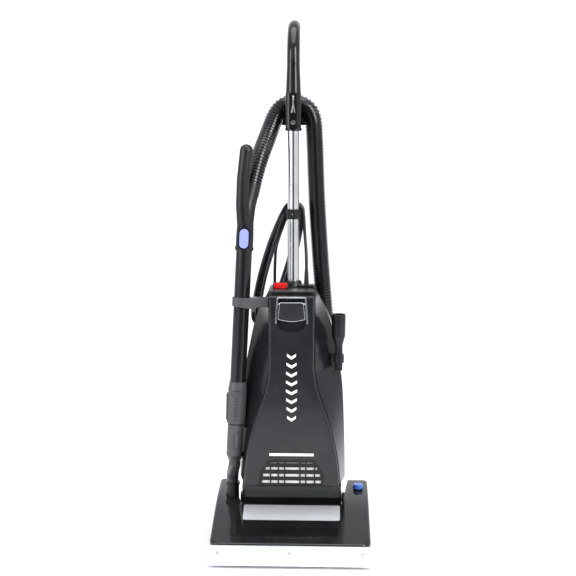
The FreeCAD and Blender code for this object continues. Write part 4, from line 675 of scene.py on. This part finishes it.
# %% Moulded plastic
def moulded(name, colour, paler, rough, grain, strength, coat=0.0):
    material, shader = new_finish(name, colour, rough[0])
    place = object_place(material)
    film = noise_on(material, place, 14.0, 5.0)
    link(material, mixed(material, ranged(material, film, 0.0, 1.0), colour, paler),
         shader.inputs["Base Color"])
    handling = noise_on(material, place, 45.0, 4.0)
    link(material, ranged(material, handling, rough[0], rough[1]), shader.inputs["Roughness"])
    texture = noise_on(material, place, grain, 2.0)
    bumped(material, shader, texture, strength, 0.0002)
    shader.inputs["Specular IOR Level"].default_value = 0.36
    shader.inputs["Coat Weight"].default_value = coat
    shader.inputs["Coat Roughness"].default_value = 0.05
    return material


BLACK, SOOT = (0.005, 0.005, 0.006), (0.010, 0.010, 0.011)
COVER, COVER_FILM = (0.009, 0.0085, 0.009), (0.016, 0.015, 0.015)
HOUSING, HOUSING_FILM = (0.007, 0.007, 0.009), (0.013, 0.013, 0.015)
DOOR, DOOR_FILM = (0.010, 0.010, 0.013), (0.018, 0.018, 0.021)
GREY, GREY_FILM = (0.050, 0.050, 0.055), (0.075, 0.075, 0.080)
BLUE, BLUE_FILM = (0.030, 0.12, 0.48), (0.055, 0.17, 0.56)
LILAC, LILAC_FILM = (0.24, 0.28, 0.72), (0.30, 0.34, 0.78)
RED, RED_FILM = (0.62, 0.010, 0.008), (0.70, 0.025, 0.020)
SILVER, SILVER_FILM = (0.68, 0.70, 0.75), (0.82, 0.84, 0.87)
POLISHED, SEMI_GLOSS, SATIN = (0.05, 0.12), (0.14, 0.24), (0.30, 0.42)
finishes = {
    "cover_black": moulded("cover_black", COVER, COVER_FILM, POLISHED, 900, 0.04, 0.1),
    "black_gloss": moulded("black_gloss", BLACK, SOOT, POLISHED, 1200, 0.03, 0.1),
    "wand_bright": moulded("wand_enamel", BLACK, SOOT, SEMI_GLOSS, 1200, 0.03, 0.1),
    "black_satin": moulded("black_satin", BLACK, SOOT, SATIN, 1300, 0.14),
    "housing_dark": moulded("housing_dark", HOUSING, HOUSING_FILM, SEMI_GLOSS, 1100, 0.05, 0.1),
    "door_dark": moulded("door_dark", DOOR, DOOR_FILM, SEMI_GLOSS, 1200, 0.05, 0.1),
    "grey_plastic": moulded("grey_plastic", GREY, GREY_FILM, SATIN, 1300, 0.12),
    "knob_blue": moulded("knob_blue", BLUE, BLUE_FILM, SEMI_GLOSS, 1200, 0.10, 0.2),
    "button_lilac": moulded("button_lilac", LILAC, LILAC_FILM, SEMI_GLOSS, 1200, 0.08, 0.2),
    "switch_red": moulded("switch_red", RED, RED_FILM, SEMI_GLOSS, 1200, 0.05, 0.1),
    "bumper_silver": moulded("bumper_silver", SILVER, SILVER_FILM, SEMI_GLOSS, 1300, 0.06, 0.4),
}
finishes["bumper_silver"].node_tree.nodes["Principled BSDF"].inputs["Subsurface Weight"].default_value = 0.12
print("moulded finishes", len(finishes))

# %% [markdown]
# Bright tube and trim are drawn or plated metal. Drawing leaves fine lines
# along the tube, so the noise is stretched a hundredfold along its height. The
# chrome parts are polished, with only slow smears in their gloss.


# %% Metals
def drawn_metal(name, colour, rough, stretch, strength):
    material, shader = new_finish(name, colour, rough[0], 1.0)
    place = object_place(material, stretch)
    lines = noise_on(material, place, 1.0, 3.0)
    link(material, ranged(material, lines, rough[0], rough[1]), shader.inputs["Roughness"])
    smear = noise_on(material, object_place(material), 20.0, 3.0)
    darker = tuple(0.86 * part for part in colour)
    link(material, mixed(material, ranged(material, smear, 0.0, 1.0), colour, darker),
         shader.inputs["Base Color"])
    bumped(material, shader, lines, strength, 0.0001)
    return material


UP_LINES = (900, 900, 9)
ROUND_LINES = (9, 900, 900)
EVEN_GRAIN = (400, 400, 400)
finishes["tube_bright"] = drawn_metal("tube_bright", (0.86, 0.87, 0.88), (0.10, 0.20), UP_LINES, 0.05)
finishes["chrome_latch"] = drawn_metal("chrome_latch", (0.84, 0.87, 0.92), (0.06, 0.12), EVEN_GRAIN, 0.02)
finishes["steel"] = drawn_metal("steel", (0.60, 0.60, 0.62), (0.22, 0.36), EVEN_GRAIN, 0.08)
finishes["motor_alu"] = drawn_metal("motor_alu", (0.70, 0.71, 0.72), (0.34, 0.48), ROUND_LINES, 0.12)
finishes["lamp_mirror"] = drawn_metal("lamp_mirror", (0.92, 0.92, 0.90), (0.04, 0.08), EVEN_GRAIN, 0.02)
print("metal finishes", 5)

# %% [markdown]
# Rubber and soft vinyl scatter light with a dull, uneven gloss. The tyres pick
# up floor dust, the cord's vinyl is smoother and has faint scuffs, and the
# hose is a spiral of polished vinyl whose ribs are real geometry, so its
# colour needs no stripes of its own.


# %% Rubber and vinyl
def soft_vinyl(name, colour, dusty, rough, grain, strength, coat=0.0):
    material, shader = new_finish(name, colour, rough[0])
    place = object_place(material)
    dust = noise_on(material, place, 60.0, 6.0)
    link(material, mixed(material, ranged(material, dust, 0.0, 1.0, 0.45, 0.75), colour, dusty),
         shader.inputs["Base Color"])
    link(material, ranged(material, noise_on(material, place, 160.0), rough[0], rough[1]),
         shader.inputs["Roughness"])
    bumped(material, shader, noise_on(material, place, grain), strength, 0.0003)
    shader.inputs["Coat Weight"].default_value = coat
    shader.inputs["Coat Roughness"].default_value = 0.08
    return material


RUBBER, RUBBER_DUST = (0.012, 0.012, 0.013), (0.028, 0.027, 0.025)
TYRE, TYRE_DUST = (0.018, 0.018, 0.019), (0.060, 0.056, 0.051)
CORD, CORD_SCUFF = (0.009, 0.009, 0.011), (0.018, 0.018, 0.020)
RIB, RIB_DUST = (0.004, 0.004, 0.005), (0.009, 0.009, 0.010)
PALE_RIB, PALE_RIB_DUST = (0.045, 0.045, 0.050), (0.085, 0.085, 0.090)
finishes["rubber_black"] = soft_vinyl("rubber_black", RUBBER, RUBBER_DUST, (0.55, 0.72), 1500, 0.25)
finishes["tyre_black"] = soft_vinyl("tyre_black", TYRE, TYRE_DUST, (0.60, 0.80), 1100, 0.35)
finishes["cord_vinyl"] = soft_vinyl("cord_vinyl", CORD, CORD_SCUFF, (0.28, 0.42), 1700, 0.12, 0.15)
finishes["hose_rib"] = soft_vinyl("hose_rib", RIB, RIB_DUST, (0.14, 0.24), 1400, 0.05, 0.3)
finishes["hose_grey"] = soft_vinyl("hose_grey", PALE_RIB, PALE_RIB_DUST, (0.18, 0.30), 1400, 0.08, 0.3)
print("soft finishes", 5)

# %% [markdown]
# A clear lens lets light through with little loss. Its rough value is low and
# fine scratches change it in places. The lamp behind it is mirror bright, so
# the lens needs no light of its own.

# %% Clear lens
lens, lens_shader = new_finish("lens_clear", (0.93, 0.95, 0.98), 0.06)
lens_shader.inputs["Transmission Weight"].default_value = 0.65
lens_shader.inputs["IOR"].default_value = 1.49
scratches = noise_on(lens, object_place(lens, (300, 40, 40)), 1.0, 4.0)
link(lens, ranged(lens, scratches, 0.04, 0.20), lens_shader.inputs["Roughness"])
finishes["lens_clear"] = lens
print("clear finish", lens.name)

# %% [markdown]
# Filter and bag are fibre. The bag's paper has long fibres and a faint
# crumple. Copper windings are wound wire, and dark bands a wire apart are
# painted shade between the turns.


# %% Fibre and winding
def fibre_sheet(name, colour, darker, stretch, strength, band_scale=None):
    material, shader = new_finish(name, colour, 0.85)
    place = object_place(material, stretch)
    fibres = noise_on(material, place, 1.0, 6.0)
    shade = ranged(material, fibres, 0.0, 1.0)
    # With band_scale, dark bands one wire apart take the place of the fibre tone: painted shade between the turns.
    if band_scale:
        bands = node_of(material, "TexWave", Scale=band_scale, Distortion=0.4)
        bands.bands_direction = "X"
        link(material, object_place(material), bands.inputs["Vector"])
        shade = ranged(material, bands.outputs["Fac"], 0.0, 1.0, 0.0, 1.0)
    link(material, mixed(material, shade, darker, colour), shader.inputs["Base Color"])
    link(material, ranged(material, fibres, 0.80, 0.95), shader.inputs["Roughness"])
    bumped(material, shader, shade, strength, 0.0005)
    return material


WIRES_PER_METRE = 160
FELT, FELT_SHADE = (0.90, 0.90, 0.88), (0.74, 0.74, 0.72)
PAPER, PAPER_SHADE = (0.60, 0.52, 0.38), (0.46, 0.39, 0.28)
NYLON, NYLON_SHADE = (0.09, 0.09, 0.09), (0.03, 0.03, 0.03)
COPPER, COPPER_PAINTED_SHADE = (0.55, 0.22, 0.08), (0.20, 0.07, 0.03)
finishes["filter_white"] = fibre_sheet("filter_white", FELT, FELT_SHADE, (700, 700, 300), 0.35)
finishes["bag_paper"] = fibre_sheet("bag_paper", PAPER, PAPER_SHADE, (240, 240, 60), 0.5)
finishes["bristle"] = fibre_sheet("bristle", NYLON, NYLON_SHADE, (1500, 300, 300), 0.4)
# The winding's darker colour is painted shade in the grooves between the wires.
finishes["winding"] = fibre_sheet("winding", COPPER, COPPER_PAINTED_SHADE, (900, 900, 90), 0.3, WIRES_PER_METRE)
print("fibre finishes", 4)

# %% [markdown]
# Each piece now gets its finish. A CAD node is painted by the slot that its
# record names. A piece modelled here carries its slot in its own declaration.

# %% Put the finishes on
slot_of = {part["node"]: part["material_slot"] for part in frame["record"]["subparts"]}
painted = 0
for piece in bpy.data.objects:
    if piece.type not in {"MESH", "CURVE"}:
        continue
    slot = slot_of.get(piece.name) or piece.get("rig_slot")
    if slot is None:
        continue
    piece.data.materials.clear()
    piece.data.materials.append(finishes[slot])
    painted += 1
print("painted pieces", painted)

# %% [markdown]
# ## Floor and light
# A pale sweep with a rounded foot carries the machine without a corner line.
# Three large soft boxes and a pale world give even light. Glossy black shells
# show the boxes as their bright facets.

# %% Floor and backdrop
SWEEP_WIDTH, SWEEP_DEPTH, SWEEP_HEIGHT, SWEEP_TURN = 9.0, 3.2, 4.5, 1.2
bpy.ops.object.select_all(action="DESELECT")
bpy.ops.mesh.primitive_plane_add(size=1, location=(0, 0, 0))
sweep = bpy.context.object
sweep.name = "studio_sweep"
sweep_profile = [(-6.0, 0.0), (SWEEP_DEPTH - SWEEP_TURN, 0.0)]
for k in range(1, 17):
    angle = math.pi / 2 * k / 16
    sweep_profile.append((SWEEP_DEPTH - SWEEP_TURN + SWEEP_TURN * math.sin(angle),
                          SWEEP_TURN - SWEEP_TURN * math.cos(angle)))
sweep_profile.append((SWEEP_DEPTH, SWEEP_HEIGHT))
corners, faces = [], []
for across in (-SWEEP_WIDTH / 2, SWEEP_WIDTH / 2):
    corners += [(across, y, z) for y, z in sweep_profile]
length = len(sweep_profile)
for k in range(length - 1):
    faces.append((k, length + k, length + k + 1, k + 1))
sweep.data.clear_geometry()
sweep.data.from_pydata(corners, [], faces)
sweep.data.update()
for face in sweep.data.polygons:
    face.use_smooth = True
paper, paper_shader = new_finish("studio_paper", (0.92, 0.92, 0.92), 0.75)
link(paper, ranged(paper, noise_on(paper, object_place(paper), 3.0), 0.70, 0.80), paper_shader.inputs["Roughness"])
sweep.data.materials.append(paper)
print("sweep faces", len(faces))

# %% [markdown]
# Gloss shows what stands in front of it. A dark cloth on the floor in front of
# the machine, and a dark flag behind the camera, keep the upper shells deep
# black. The door's lower half still mirrors the pale floor near its foot. The
# camera doesn't see either of them.


# %% Dark cloths
def dark_cloth(name, size_x, size_y, place, tilt):
    """A dark sheet that only reflections see."""
    bpy.ops.object.select_all(action="DESELECT")
    bpy.ops.mesh.primitive_plane_add(size=1, location=place, rotation=(tilt, 0, 0), scale=(1, 1, 1))
    cloth = bpy.context.object
    cloth.name = name
    cloth.scale = (size_x, size_y, 1)
    cloth.visible_camera = False
    cloth.visible_shadow = False
    cloth.visible_diffuse = False
    velvet, velvet_shader = new_finish(name, (0.02, 0.02, 0.02), 0.95)
    link(velvet, ranged(velvet, noise_on(velvet, object_place(velvet), 40.0), 0.9, 1.0),
         velvet_shader.inputs["Roughness"])
    cloth.data.materials.append(velvet)
    return cloth


CLOTH_EDGE, CLOTH_END = -1.30, -5.2
cloth_middle = (CLOTH_EDGE + CLOTH_END) / 2
dark_cloth("floor_cloth", 2.6, CLOTH_EDGE - CLOTH_END, (0.1, cloth_middle, 0.003), 0)
dark_cloth("standing_cloth", 2.6, 2.2, (0.1, CLOTH_END, 1.1), math.pi / 2)
print("cloths", 2)


# %% Soft boxes
def soft_box(name, place, aim, width, height, power, warm=(1, 1, 1)):
    """A rectangular area light turned to face a point."""
    lamp = bpy.data.lights.new(name, "AREA")
    lamp.shape = "RECTANGLE"
    lamp.size, lamp.size_y = width, height
    lamp.energy = power
    lamp.color = warm
    box_light = bpy.data.objects.new(name, lamp)
    box_light.location = place
    box_light.rotation_euler = (Vector(aim) - Vector(place)).to_track_quat("-Z", "Y").to_euler()
    bpy.context.scene.collection.objects.link(box_light)
    return box_light


MACHINE_MIDDLE = (0, 0, 0.55)
soft_box("key_box", (1.7, -1.8, 2.0), MACHINE_MIDDLE, 1.0, 1.8, 60)
soft_box("fill_box", (-2.1, -1.4, 1.4), MACHINE_MIDDLE, 1.0, 2.0, 35)
soft_box("top_box", (0.0, -0.2, 3.2), MACHINE_MIDDLE, 2.2, 2.2, 50)
world = bpy.data.worlds.new("studio_world")
world.use_nodes = True
sky = world.node_tree.nodes["Background"]
sky.inputs["Color"].default_value = (0.95, 0.96, 1.0, 1)
sky.inputs["Strength"].default_value = 0.80
bpy.context.scene.world = world
bpy.context.scene.view_settings.view_transform = "Standard"
print("soft boxes", 3)

# %% End
print("scene built")
